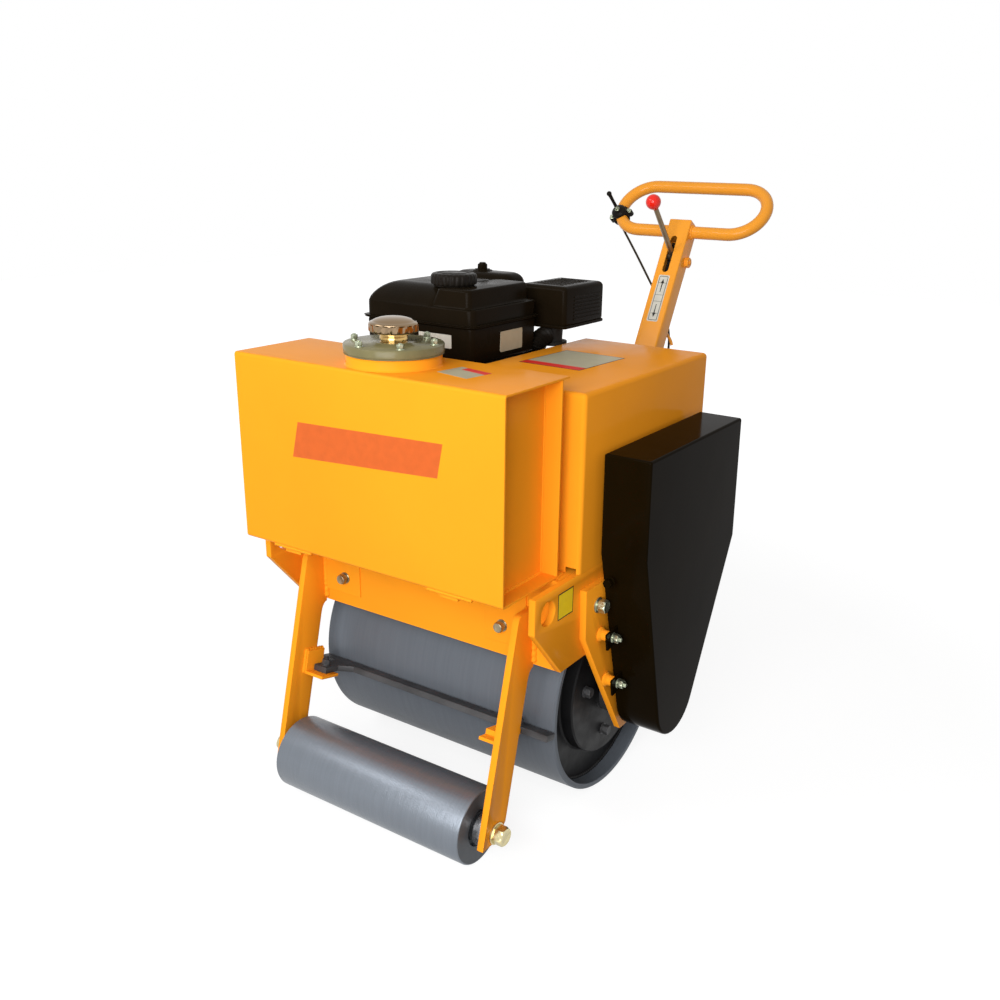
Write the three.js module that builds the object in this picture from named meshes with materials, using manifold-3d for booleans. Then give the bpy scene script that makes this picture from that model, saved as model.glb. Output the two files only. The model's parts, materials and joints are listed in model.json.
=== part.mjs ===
// Walk-behind single-drum roller with a small front support roller.
// Millimetres, +Z up. The machine is laid out about the drum's axle: x = 0 is the middle of the
// machine, y = 0 the drum's axle (the operator stands at +Y) and z = 0 the floor.
// The finished group is moved so that its origin is the centre of its footprint.
import * as THREE from 'three';
import { mergeVertices } from 'three/addons/utils/BufferGeometryUtils.js';
import Module from 'manifold-3d';

const wasm = await Module();
wasm.setup();

// ---- driving dimensions ----
const FOOTPRINT_CENTRE = { x: 30, y: 252 };
const GAP = 0.3;
// Shapes that are joined run this far into each other, and cutting shapes this far past a face.
const OVERLAP = 1;
const MERGE_TOLERANCE = 1e-3;
// How many flats the round pieces have.
const FLATS = {
  hex: 6, cord: 8, lever: 12, standoff: 16, sleeve: 20, rod: 24, housing: 32, flange: 48, drum: 72,
};

const DRUM = { radius: 236, half: 300, shell: 12, recess: 36, endPlate: 14, hubRadius: 157, hubFace: 294 };
const DRUM_STUB = { radius: 28, reach: 325 };
const EXCITER_R = 62;
const BEARING = { inner: 29.5, outer: 62, face: 302.5 };
const MOTOR = { flangeR: 66, flange: 12, bodyR: 46, reach: 388 };

const FRAME_TOP = 563.7;
const SIDE = { inner: 319, outer: 333, reach: 368, knee: 494, low: 383, lowReach: 272 };
const TIE_HOLE = { y: 323, z: 523, radius: 23.5 };
const YOKE = { outer: 347, topReach: 212, top: 530, kneeReach: 208, knee: 428, lowReach: 45, low: 160 };
const FRONT_PLATE = { front: -272, back: -260 };
const REAR_PLATE = { front: 340, back: 352, low: 470, tongueHalf: 80 };
const DECK_BOTTOM = 552;

const TANK = { half: 310, front: -434, back: -236, bottom: 564, top: 935 };
const TANK_SHEET = { thick: 4, recess: 35, overhang: 20 };
const BEARER = { x: 190, width: 40, front: -428 };
const FILLER = { y: -336, collarR: 87, collarTop: 955, flangeR: 91, flangeTop: 973 };
const FILLER_NECK = { radius: 25.5, top: 992 };
const FILLER_CAP = { radius: 45, top: 1020, crown: 9, chamfer: 3, shoulder: 8, shoulderIn: 4 };
const FILLER_DOME = { radius: 27, drop: 2 };

const HOOD = { left: 31, right: 336, front: -223, back: 296, bottom: 564, top: 904, sheet: 4 };
const GUARD = { inner: 352, outer: 448, front: -178, back: 236, top: 790 };
const GUARD_KNEES = { front: { y: -175, z: 597 }, back: { y: 244, z: 531 } };
const GUARD_SUMP = { y: 5, z: 250, radius: 86, from: 1.06 * Math.PI, to: 1.86 * Math.PI };
const LUGS = [{ y: -150, z: 420 }, { y: -120, z: 309 }];
const LUG = { inner: 371, outer: 375, reach: 26, weld: 46, rise: 22, taper: 6, notch: 8, heel: 12 };
const STANDOFF_R = 10;

const ARM = { inner: 258, outer: 272, width: 69, slope: 0.2504, frontAt300: -373.5, top: 500, bottom: 57 };
const ARM_CORNER = { top: 12, tip: 22, tipRise: 27 };
const ARM_FILLET = { top: 378, bottom: 354 };
const ROLLER = { radius: 76, half: 236, y: -392, bore: 15.6, recess: 10, rimWidth: 37 };
const ROLLER_AXLE = { radius: 15, collarR: 34, collarFace: 239, headR: 17, headReach: 285 };

// The scraper and its brackets are square to the arms, so they are laid out level and then leaned.
const SCRAPER_AXIS = { y: -255, z: 220 };
const SCRAPER = { left: -290, right: 306, front: -17.5, back: 11, thick: 13 };
const SCRAPER_FOOT = { left: -249, right: -215, front: -80, heel: -42, root: -192 };
const SCRAPER_BRACKET = { reach: 204, front: -101, back: -50.5, leg: 6.5, rise: 44 };
const SCRAPER_LUG = { left: 203, right: 246, front: -78, back: -18.5, thick: 10 };

const ENGINE_FLOOR = 712;
const RAIL = { width: 44, front: -112, back: 196, xs: [-205, -20] };
const CRANKCASE = { left: -176, right: 0, front: -96, back: 106, top: 893 };
const CYLINDER = { left: -160, right: -30, back: 250, bottom: 748, top: 893 };
const BLOWER = { x: -176.3, depth: 62, y: 4, z: 800, radius: 88 };
const SHAFT = { y: 4, z: 800, radius: 30 };
const FUEL = { left: -276, right: 16, front: -118, back: 136, bottom: 894, seam: 972, top: 1043 };
const FUEL_SEAM = { lip: 8, thick: 4 };
const FUEL_TOP = { front: -104, back: 124, left: -262, right: -4, rise: 1004 };
const FUEL_CORNER = { shell: 18, crown: 16, seam: 24 };
const FUEL_EDGE = { shell: 6, crown: 8 };
const FUEL_CAP = { x: -84, y: -46, radius: 47, height: 24 };
const AIR_CLEANER = { left: -250, right: -78, front: 142, back: 236, bottom: 901, top: 1047 };
const AIR_CLEANER_ROUND = { corner: 24, edge: 14 };
const AIR_KNOB = { x: -180, y: 188, radius: 11, height: 14 };
const MUFFLER = { left: -60, right: 60, front: 156, back: 326, bottom: 942, top: 1031 };
const MUFFLER_ROUND = { corner: 14, edge: 8 };
const MUFFLER_PIPE = { half: 24, front: 196, back: 236 };

const PIVOT = { y: 480, z: 440, pinR: 10, lugInner: 36.5, lugOuter: 48.5, lugR: 34, gusset: 18 };
const PIVOT_PIN = { headR: 16, headReach: 58, tipReach: 62 };
const BRACKET_BASE = { half: 70, thick: 12, bottom: 392, top: 500 };
const LEAN = THREE.MathUtils.degToRad(28.5);
const HANDLE = { half: 31.5, depth: 50, wall: 4, low: -33, top: 788, chamfer: 29, chamferDepth: 16 };
const ARM_HOLLOW = { low: 40, high: 704 };
const SLOT = { low: 638, high: 740, left: -12.3, right: 5.3 };
const LOOP_STEPS = 40;
const LOOP = { tube: 16, straight: 128.3, bend: 78.7, base: 763, tilt: THREE.MathUtils.degToRad(17.5) };
const LEVER = { radius: 6, foot: [-3.5, 12, 687], ball: [0, -193.5, 749.5], ballR: 19 };
const CLAMP = { angle: THREE.MathUtils.degToRad(25), outer: 23, length: 34, probe: 0.05 };
const CLAMP_BOSS = { left: 14, right: 12, front: 36, back: 10, below: 15, above: 16 };
const THROTTLE_LEVER = { foot: [-200, -26.5, 809], tip: [-212, -62, 832], radius: 5.5, tipR: 6.5 };
const CABLE_R = 3;
const CABLE_STEPS = { upper: 60, lower: 30 };
const BORE_REACH = 60;
const UPPER_CABLE = [
  [-203, 36, 786], [-132, 38, 705], [-65, 40, 626], [-22, 50, 574],
  [6, 60, 524], [20, 66, 480], [24, 68, 440], [14, 66, 370], [-14, 58, 280],
  [-46, 44, 180], [-68, 26, 90], [-74, 10, 30], [-74, 0, 5],
];
const LOWER_CABLE = [
  [-74, 477, 443], [-78, 462, 462], [-84, 432, 510], [-92, 396, 580], [-100, 356, 660],
  [-106, 318, 740], [-108, 288, 796], [-108, 268, 822], [-108, 253, 836],
];

// ---- materials ----
function paint(hex, roughness, metalness) {
  return new THREE.MeshStandardMaterial({ color: hex, roughness, metalness });
}
const FINISH = {
  yellow: () => paint('#f2a31c', 0.32, 0.1),
  black: () => paint('#14100c', 0.25, 0.1),
  engine: () => paint('#1b1a19', 0.42, 0.2),
  steel: () => paint('#6b727b', 0.35, 0.85),
  dark: () => paint('#2f3032', 0.5, 0.6),
  zinc: () => paint('#b9b48f', 0.35, 0.9),
  chrome: () => paint('#d8d8d6', 0.12, 1),
  brass: () => paint('#b08d4a', 0.3, 0.9),
  red: () => paint('#d8201a', 0.2, 0),
  rubber: () => paint('#1d1a17', 0.7, 0),
};

// ---- solids ----
function toSolid(geometry) {
  const bare = geometry.clone();
  bare.deleteAttribute('normal');
  bare.deleteAttribute('uv');
  const merged = mergeVertices(bare, MERGE_TOLERANCE);
  const vertProperties = new Float32Array(merged.attributes.position.array);
  const triVerts = new Uint32Array(merged.index.array);
  return new wasm.Manifold(new wasm.Mesh({ numProp: 3, vertProperties, triVerts }));
}

function fromSolid(solid) {
  const mesh = solid.getMesh();
  const geometry = new THREE.BufferGeometry();
  geometry.setAttribute('position', new THREE.BufferAttribute(mesh.vertProperties, 3));
  geometry.setIndex(new THREE.BufferAttribute(mesh.triVerts, 1));
  return geometry;
}

function join(...geometries) {
  return fromSolid(geometries.map(toSolid).reduce((whole, next) => whole.add(next)));
}

function cut(geometry, ...tools) {
  return fromSolid(tools.map(toSolid).reduce((rest, tool) => rest.subtract(tool), toSolid(geometry)));
}

// ---- shapes ----
function block(x0, x1, y0, y1, z0, z1) {
  const geometry = new THREE.BoxGeometry(x1 - x0, y1 - y0, z1 - z0);
  return geometry.translate((x0 + x1) / 2, (y0 + y1) / 2, (z0 + z1) / 2);
}

function outline(points) {
  return new THREE.Shape(points.map(([a, b]) => new THREE.Vector2(a, b)));
}

function disc(radius, sides) {
  const points = [];
  for (let i = 0; i < sides; i += 1) {
    const turn = (2 * Math.PI * i) / sides;
    points.push([radius * Math.cos(turn), radius * Math.sin(turn)]);
  }
  return outline(points);
}

// A flat plate across the machine: its outline is in (y, z) and it reaches from x0 to x1.
function plateAcross(shape, x0, x1) {
  const options = { depth: x1 - x0, bevelEnabled: false, curveSegments: 8 };
  const geometry = new THREE.ExtrudeGeometry(shape, options);
  const axes = new THREE.Matrix4().makeBasis(
    new THREE.Vector3(0, 1, 0), new THREE.Vector3(0, 0, 1), new THREE.Vector3(1, 0, 0));
  return geometry.applyMatrix4(axes).translate(x0, 0, 0);
}

// A level plate: its outline is in (x, y) and it reaches from z0 to z1.
function plateLevel(shape, z0, z1, bevel = 0) {
  const options = { depth: z1 - z0 - 2 * bevel, curveSegments: 4, bevelSegments: 2 };
  options.bevelEnabled = bevel > 0;
  options.bevelThickness = bevel;
  options.bevelSize = bevel;
  options.bevelOffset = -bevel;
  return new THREE.ExtrudeGeometry(shape, options).translate(0, 0, z0 + bevel);
}

function rod(radius, x0, x1, y, z, sides = FLATS.rod) {
  const geometry = new THREE.CylinderGeometry(radius, radius, x1 - x0, sides);
  return geometry.rotateZ(Math.PI / 2).translate((x0 + x1) / 2, y, z);
}

function post(radius, x, y, z0, z1, sides = FLATS.housing) {
  const geometry = new THREE.CylinderGeometry(radius, radius, z1 - z0, sides);
  return geometry.rotateX(Math.PI / 2).translate(x, y, (z0 + z1) / 2);
}

// A turned part: its profile is [radius, height] and its axis lies along x.
function turnedAcross(profile, sides) {
  const points = profile.map(([radius, height]) => new THREE.Vector2(radius, height));
  return new THREE.LatheGeometry(points, sides).rotateZ(-Math.PI / 2);
}

// The same turned profile on the other side of the machine is mirrored and runs the other way.
function facing(side, profile) {
  return side > 0 ? profile : profile.map(([radius, height]) => [radius, -height]).reverse();
}

function roundedRect(x0, x1, y0, y1, radius) {
  const shape = new THREE.Shape();
  shape.moveTo(x0 + radius, y0);
  shape.lineTo(x1 - radius, y0);
  shape.absarc(x1 - radius, y0 + radius, radius, -Math.PI / 2, 0, false);
  shape.lineTo(x1, y1 - radius);
  shape.absarc(x1 - radius, y1 - radius, radius, 0, Math.PI / 2, false);
  shape.lineTo(x0 + radius, y1);
  shape.absarc(x0 + radius, y1 - radius, radius, Math.PI / 2, Math.PI, false);
  shape.lineTo(x0, y0 + radius);
  shape.absarc(x0 + radius, y0 + radius, radius, Math.PI, 1.5 * Math.PI, false);
  return shape;
}

function tubeAlong(curve, radius, sides, steps) {
  return new THREE.ExtrudeGeometry(disc(radius, sides), { steps, bevelEnabled: false, extrudePath: curve });
}

function curveThrough(points) {
  return new THREE.CatmullRomCurve3(points.map((point) => new THREE.Vector3(...point)));
}

function barBetween(from, to, radius, sides) {
  const start = new THREE.Vector3(...from);
  const end = new THREE.Vector3(...to);
  return tubeAlong(new THREE.LineCurve3(start, end), radius, sides, 1);
}

// ---- assembly ----
const group = new THREE.Group();
group.position.set(-FOOTPRINT_CENTRE.x, -FOOTPRINT_CENTRE.y, 0);

const handle = new THREE.Group();
handle.position.set(0, PIVOT.y, PIVOT.z);
handle.rotation.x = -LEAN;
group.add(handle);

function place(parent, name, geometry, finish) {
  const mesh = new THREE.Mesh(geometry, FINISH[finish]());
  mesh.name = name;
  parent.add(mesh);
}

const SIDES = [['left', -1], ['right', 1]];

function acrossRange(side, near, far) {
  return side < 0 ? [-far, -near] : [near, far];
}

// ---- frame ----
function sidePlate(side) {
  const shape = outline([
    [-SIDE.reach, FRAME_TOP], [-SIDE.reach, SIDE.knee], [-SIDE.lowReach, SIDE.low],
    [SIDE.lowReach, SIDE.low], [SIDE.reach, SIDE.knee], [SIDE.reach, FRAME_TOP],
  ]);
  const hole = new THREE.Path();
  hole.absarc(-TIE_HOLE.y, TIE_HOLE.z, TIE_HOLE.radius, 0, 2 * Math.PI, true);
  shape.holes.push(hole);
  return plateAcross(shape, ...acrossRange(side, SIDE.inner, SIDE.outer));
}

function yokePlate(side) {
  const shape = outline([
    [-YOKE.topReach, YOKE.top], [-YOKE.kneeReach, YOKE.knee], [-YOKE.lowReach, YOKE.low],
    [YOKE.lowReach, YOKE.low], [YOKE.kneeReach, YOKE.knee], [YOKE.topReach, YOKE.top],
  ]);
  const plate = plateAcross(shape, ...acrossRange(side, SIDE.outer + GAP, YOKE.outer));
  if (side < 0) return plate;
  const standoffs = LUGS.map((lug) => rod(
    STANDOFF_R, YOKE.outer - OVERLAP, LUG.inner - GAP, lug.y, lug.z, FLATS.standoff));
  return join(plate, ...standoffs);
}

function bearingHousing(side) {
  const far = SIDE.outer;
  const profile = [
    [BEARING.inner, BEARING.face], [BEARING.outer, BEARING.face], [BEARING.outer, far],
    [BEARING.inner, far], [BEARING.inner, BEARING.face],
  ];
  return turnedAcross(facing(side, profile), FLATS.housing).translate(0, 0, DRUM.radius);
}

function driveMotor() {
  const face = -YOKE.outer - MOTOR.flange;
  const flange = rod(MOTOR.flangeR, face, -YOKE.outer - GAP, 0, DRUM.radius, FLATS.housing);
  const body = rod(MOTOR.bodyR, -MOTOR.reach, face + OVERLAP, 0, DRUM.radius, FLATS.housing);
  return join(flange, body);
}

// The front cross plate carries the two bearers that the water tank stands on.
function frontCrossPlate(inside) {
  const plate = block(-inside, inside, FRONT_PLATE.front, FRONT_PLATE.back, SIDE.low, FRAME_TOP);
  const bearers = SIDES.map(([, side]) => {
    const x = side * BEARER.x;
    return block(x - BEARER.width / 2, x + BEARER.width / 2, BEARER.front, FRONT_PLATE.front + OVERLAP,
      DECK_BOTTOM, FRAME_TOP);
  });
  return join(plate, ...bearers);
}

function rearCrossPlate(inside) {
  const { front, back, low, tongueHalf } = REAR_PLATE;
  const plate = block(-inside, inside, front, back, low, FRAME_TOP);
  return join(plate, block(-tongueHalf, tongueHalf, front, back, SIDE.low, low + OVERLAP));
}

// The deck carries the two rails that lift the engine to its belt's height.
function deckWithRails(inside) {
  const deck = block(-inside, inside, FRONT_PLATE.back + GAP, REAR_PLATE.front - GAP, DECK_BOTTOM, FRAME_TOP);
  const rails = RAIL.xs.map((x) => block(
    x, x + RAIL.width, RAIL.front, RAIL.back, FRAME_TOP - OVERLAP, ENGINE_FLOOR - GAP));
  return join(deck, ...rails);
}

function buildFrame() {
  for (const [name, side] of SIDES) {
    place(group, `side_plate_${name}`, sidePlate(side), 'yellow');
    place(group, `yoke_plate_${name}`, yokePlate(side), 'yellow');
    place(group, `bearing_housing_${name}`, bearingHousing(side), 'dark');
  }
  place(group, 'drum_drive_motor', driveMotor(), 'dark');
  const inside = SIDE.inner - GAP;
  place(group, 'cross_plate_front', frontCrossPlate(inside), 'yellow');
  place(group, 'cross_plate_rear', rearCrossPlate(inside), 'yellow');
  place(group, 'deck_plate', deckWithRails(inside), 'yellow');
}

// ---- drum ----
function drumShell() {
  const inner = DRUM.radius - DRUM.shell;
  const profile = [
    [inner, -DRUM.half], [DRUM.radius, -DRUM.half], [DRUM.radius, DRUM.half], [inner, DRUM.half],
    [inner, -DRUM.half],
  ];
  return turnedAcross(profile, FLATS.drum).translate(0, 0, DRUM.radius);
}

// An end of the drum: the plate that closes the shell, the raised hub and the stub axle in one.
function drumEnd(side) {
  const face = DRUM.half - DRUM.recess;
  const plateR = DRUM.radius - DRUM.shell - GAP;
  const profile = [
    [0, face - DRUM.endPlate], [plateR, face - DRUM.endPlate], [plateR, face], [DRUM.hubRadius, face],
    [DRUM.hubRadius, DRUM.hubFace], [DRUM_STUB.radius, DRUM.hubFace], [DRUM_STUB.radius, DRUM_STUB.reach],
    [0, DRUM_STUB.reach],
  ];
  return turnedAcross(facing(side, profile), FLATS.drum).translate(0, 0, DRUM.radius);
}

function drumExciter() {
  const half = DRUM.half - DRUM.recess - DRUM.endPlate - GAP;
  return rod(EXCITER_R, -half, half, 0, DRUM.radius, FLATS.housing);
}

// ---- front support roller ----
function armFront(z) {
  return ARM.frontAt300 + ARM.slope * (z - 300);
}

function supportArm(side) {
  const weld = FRONT_PLATE.front - GAP;
  const back = (z) => armFront(z) + ARM.width;
  const shape = new THREE.Shape();
  shape.moveTo(armFront(ARM.bottom), ARM.bottom);
  shape.lineTo(armFront(ARM.top - ARM_CORNER.top), ARM.top - ARM_CORNER.top);
  shape.quadraticCurveTo(armFront(ARM.top), ARM.top, armFront(ARM.top) + ARM_CORNER.top, ARM.top);
  shape.lineTo(weld, ARM.top);
  shape.lineTo(weld, ARM_FILLET.top);
  shape.quadraticCurveTo(back(ARM_FILLET.top), ARM_FILLET.top, back(ARM_FILLET.bottom), ARM_FILLET.bottom);
  shape.lineTo(back(ARM.bottom + ARM_CORNER.tipRise), ARM.bottom + ARM_CORNER.tipRise);
  shape.lineTo(back(ARM.bottom) - ARM_CORNER.tip, ARM.bottom);
  const arm = plateAcross(shape, ...acrossRange(side, ARM.inner, ARM.outer));
  const bore = rod(ROLLER_AXLE.radius + GAP, -DRUM.half, DRUM.half, ROLLER.y, ROLLER.radius);
  return cut(arm, bore);
}

function supportRoller() {
  const rim = ROLLER.radius - ROLLER.rimWidth;
  const floor = ROLLER.half - ROLLER.recess;
  const profile = [
    [ROLLER.bore, -floor], [rim, -floor], [rim, -ROLLER.half], [ROLLER.radius, -ROLLER.half],
    [ROLLER.radius, ROLLER.half], [rim, ROLLER.half], [rim, floor], [ROLLER.bore, floor],
    [ROLLER.bore, -floor],
  ];
  return turnedAcross(profile, FLATS.flange).translate(0, ROLLER.y, ROLLER.radius);
}

function rollerAxle() {
  const at = [ROLLER.y, ROLLER.radius];
  const shaft = rod(ROLLER_AXLE.radius, -ROLLER_AXLE.headReach, ROLLER_AXLE.headReach, ...at);
  const parts = [shaft];
  for (const side of [-1, 1]) {
    const [c0, c1] = acrossRange(side, ROLLER_AXLE.collarFace, ARM.inner - GAP);
    const [h0, h1] = acrossRange(side, ARM.outer + GAP, ROLLER_AXLE.headReach);
    parts.push(rod(ROLLER_AXLE.collarR, c0, c1, ...at));
    parts.push(rod(ROLLER_AXLE.headR, h0, h1, ...at, FLATS.hex));
  }
  return join(...parts);
}

function leanOnArms(part) {
  return part.rotateX(-Math.atan(ARM.slope)).translate(0, SCRAPER_AXIS.y, SCRAPER_AXIS.z);
}

function scraperBar() {
  const { left, right, front, back, thick } = SCRAPER;
  const foot = SCRAPER_FOOT;
  const shape = outline([
    [left, back], [left, front], [foot.left, front], [foot.left, foot.front],
    [foot.right, foot.front], [foot.right, foot.heel], [foot.root, front],
    [right, front], [right, back],
  ]);
  return leanOnArms(plateLevel(shape, 0, thick));
}

function scraperBracket(side) {
  const { reach, front, back, leg, rise } = SCRAPER_BRACKET;
  const far = ARM.inner - GAP;
  const shelf = block(...acrossRange(side, reach, far), front, back, -leg - GAP, -GAP);
  const upright = block(...acrossRange(side, far - leg, far), front, back, -leg - GAP, rise);
  const parts = [shelf, upright];
  if (side > 0) {
    const lug = SCRAPER_LUG;
    parts.push(block(lug.left, lug.right, lug.front, lug.back, -GAP - OVERLAP, lug.thick));
  }
  return leanOnArms(join(...parts));
}

function buildRollers() {
  place(group, 'drum_shell', drumShell(), 'steel');
  for (const [name, side] of SIDES) place(group, `drum_end_${name}`, drumEnd(side), 'dark');
  place(group, 'drum_exciter', drumExciter(), 'dark');
  place(group, 'support_roller', supportRoller(), 'steel');
  place(group, 'roller_axle', rollerAxle(), 'zinc');
  for (const [name, side] of SIDES) {
    place(group, `support_arm_${name}`, supportArm(side), 'yellow');
    place(group, `scraper_bracket_${name}`, scraperBracket(side), 'yellow');
  }
  place(group, 'scraper_bar', scraperBar(), 'dark');
}

// ---- tank and filler ----
function waterTank() {
  const { half, front, back, bottom, top } = TANK;
  const { thick, recess, overhang } = TANK_SHEET;
  const wall = back - overhang;
  const body = block(-half, half, front, wall, bottom, top);
  const lids = [bottom, top - thick].map((z) => block(-half, half, wall - OVERLAP, back, z, z + thick));
  const pockets = SIDES.map(([, side]) => block(
    ...acrossRange(side, half - recess, half + OVERLAP),
    front + thick, wall - thick, bottom + thick, top - thick));
  return cut(join(body, ...lids), ...pockets);
}

function fillerCap() {
  const { radius, top, crown, chamfer, shoulder, shoulderIn } = FILLER_CAP;
  const base = FILLER_NECK.top + GAP;
  const profile = [
    [0, base], [radius - chamfer, base], [radius, base + chamfer], [radius, top - crown - shoulder],
    [radius - shoulderIn, top - crown], [FILLER_DOME.radius, top - FILLER_DOME.drop], [0, top],
  ];
  const points = profile.map(([r, z]) => new THREE.Vector2(r, z));
  return new THREE.LatheGeometry(points, FLATS.housing).rotateX(Math.PI / 2).translate(0, FILLER.y, 0);
}

function buildTank() {
  place(group, 'water_tank', waterTank(), 'yellow');
  const collar = post(FILLER.collarR, 0, FILLER.y, TANK.top + GAP, FILLER.collarTop, FLATS.flange);
  place(group, 'filler_collar', collar, 'yellow');
  const flange = post(
    FILLER.flangeR, 0, FILLER.y, FILLER.collarTop + GAP, FILLER.flangeTop, FLATS.flange);
  place(group, 'filler_flange', flange, 'zinc');
  const neck = post(FILLER_NECK.radius, 0, FILLER.y, FILLER.flangeTop + GAP, FILLER_NECK.top, FLATS.rod);
  place(group, 'filler_neck', neck, 'brass');
  place(group, 'filler_cap', fillerCap(), 'chrome');
}

// ---- hood and belt guard ----
function hoodShell() {
  const { left, right, front, back, bottom, top, sheet } = HOOD;
  const shell = block(left, right, front, back, bottom, top);
  const hollow = block(
    left + sheet, right - sheet, front + sheet, back - sheet, bottom - OVERLAP, top - sheet);
  return cut(shell, hollow);
}

function guardOutline() {
  const { y, z, radius, from, to } = GUARD_SUMP;
  const shape = new THREE.Shape();
  shape.moveTo(GUARD.front, GUARD.top);
  shape.lineTo(GUARD_KNEES.front.y, GUARD_KNEES.front.z);
  shape.absarc(y, z, radius, from, to, false);
  shape.lineTo(GUARD_KNEES.back.y, GUARD_KNEES.back.z);
  shape.lineTo(GUARD.back, GUARD.top);
  return shape;
}

function beltGuard() {
  const cover = plateAcross(guardOutline(), GUARD.inner, GUARD.outer);
  const lugs = LUGS.map(({ y, z }) => plateAcross(outline([
    [y - LUG.reach, z + LUG.rise - LUG.notch], [y - LUG.reach + LUG.taper, z - LUG.rise],
    [y + LUG.weld, z - LUG.rise + LUG.heel], [y + LUG.weld, z + LUG.rise],
  ]), LUG.inner, LUG.outer));
  return join(cover, ...lugs);
}

function buildCovers() {
  place(group, 'hood', hoodShell(), 'yellow');
  place(group, 'belt_guard', beltGuard(), 'black');
}

// ---- engine ----
function fuelTank() {
  const { left, right, front, back, bottom, seam, top } = FUEL;
  const { lip, thick } = FUEL_SEAM;
  const shellPlan = roundedRect(left + lip, right - lip, front + lip, back - lip, FUEL_CORNER.shell);
  const crownPlan = roundedRect(
    FUEL_TOP.left, FUEL_TOP.right, FUEL_TOP.front, FUEL_TOP.back, FUEL_CORNER.crown);
  const seamPlan = roundedRect(left, right, front, back, FUEL_CORNER.seam);
  const shell = plateLevel(shellPlan, bottom, FUEL_TOP.rise, FUEL_EDGE.shell);
  const crown = plateLevel(crownPlan, seam, top, FUEL_EDGE.crown);
  const flange = plateLevel(seamPlan, seam - thick / 2, seam + thick / 2);
  return join(shell, crown, flange);
}

function airCleaner() {
  const { left, right, front, back, bottom, top } = AIR_CLEANER;
  const plan = roundedRect(left, right, front, back, AIR_CLEANER_ROUND.corner);
  const body = plateLevel(plan, bottom, top, AIR_CLEANER_ROUND.edge);
  const knob = post(
    AIR_KNOB.radius, AIR_KNOB.x, AIR_KNOB.y, top - OVERLAP, top + AIR_KNOB.height, FLATS.lever);
  return join(body, knob);
}

function muffler() {
  const { left, right, front, back, bottom, top } = MUFFLER;
  const plan = roundedRect(left, right, front, back, MUFFLER_ROUND.corner);
  const box = plateLevel(plan, bottom, top, MUFFLER_ROUND.edge);
  const { half, front: pipeFront, back: pipeBack } = MUFFLER_PIPE;
  const pipe = block(-half, half, pipeFront, pipeBack, CYLINDER.top + GAP, bottom + OVERLAP);
  return join(box, pipe);
}

function buildEngine() {
  const { left, right, front, back, top } = CRANKCASE;
  const crankcase = block(left, right, front, back, ENGINE_FLOOR, top);
  const stub = rod(SHAFT.radius, right - OVERLAP, HOOD.left - GAP, SHAFT.y, SHAFT.z);
  place(group, 'engine_crankcase', join(crankcase, stub), 'engine');
  const cylinder = block(CYLINDER.left, CYLINDER.right, back + GAP, CYLINDER.back,
    CYLINDER.bottom, CYLINDER.top);
  place(group, 'engine_cylinder', cylinder, 'engine');
  const blower = rod(
    BLOWER.radius, BLOWER.x - BLOWER.depth, BLOWER.x, BLOWER.y, BLOWER.z, FLATS.housing);
  place(group, 'recoil_starter', blower, 'engine');
  place(group, 'fuel_tank', fuelTank(), 'engine');
  const cap = post(
    FUEL_CAP.radius, FUEL_CAP.x, FUEL_CAP.y, FUEL.top + GAP, FUEL.top + FUEL_CAP.height);
  place(group, 'fuel_cap', cap, 'black');
  place(group, 'air_cleaner', airCleaner(), 'engine');
  place(group, 'muffler_guard', muffler(), 'engine');
}

// ---- handle ----
function handleBracket() {
  const { half, thick, bottom, top } = BRACKET_BASE;
  const base = block(-half, half, REAR_PLATE.back + GAP, REAR_PLATE.back + thick, bottom, top);
  const root = REAR_PLATE.back + thick - OVERLAP;
  const shape = new THREE.Shape();
  shape.moveTo(root, PIVOT.z - PIVOT.lugR);
  shape.lineTo(PIVOT.y, PIVOT.z - PIVOT.lugR);
  shape.absarc(PIVOT.y, PIVOT.z, PIVOT.lugR, -Math.PI / 2, Math.PI / 2, false);
  shape.lineTo(root, PIVOT.z + PIVOT.lugR + PIVOT.gusset);
  const lugs = SIDES.map(([, side]) => plateAcross(
    shape, ...acrossRange(side, PIVOT.lugInner, PIVOT.lugOuter)));
  const bore = rod(PIVOT.pinR + GAP, -BORE_REACH, BORE_REACH, PIVOT.y, PIVOT.z);
  return cut(join(base, ...lugs), bore);
}

function pivotPin() {
  const { headR, headReach, tipReach } = PIVOT_PIN;
  const shaft = rod(PIVOT.pinR, -PIVOT.lugOuter - OVERLAP, tipReach, PIVOT.y, PIVOT.z);
  const nut = rod(headR, PIVOT.lugOuter + GAP, headReach, PIVOT.y, PIVOT.z, FLATS.hex);
  const head = rod(headR, -headReach, -PIVOT.lugOuter - GAP, PIVOT.y, PIVOT.z, FLATS.hex);
  return join(shaft, nut, head);
}

// The loop's plane leans back from the arm, so a rise in it goes up and back.
function onLoopPlane(x, rise) {
  return new THREE.Vector3(x, rise * Math.sin(LOOP.tilt), LOOP.base + rise * Math.cos(LOOP.tilt));
}

function loopPoint(angle) {
  const x = Math.sign(Math.cos(angle)) * LOOP.straight + LOOP.bend * Math.cos(angle);
  return onLoopPlane(x, LOOP.bend * (1 + Math.sin(angle)));
}

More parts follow.
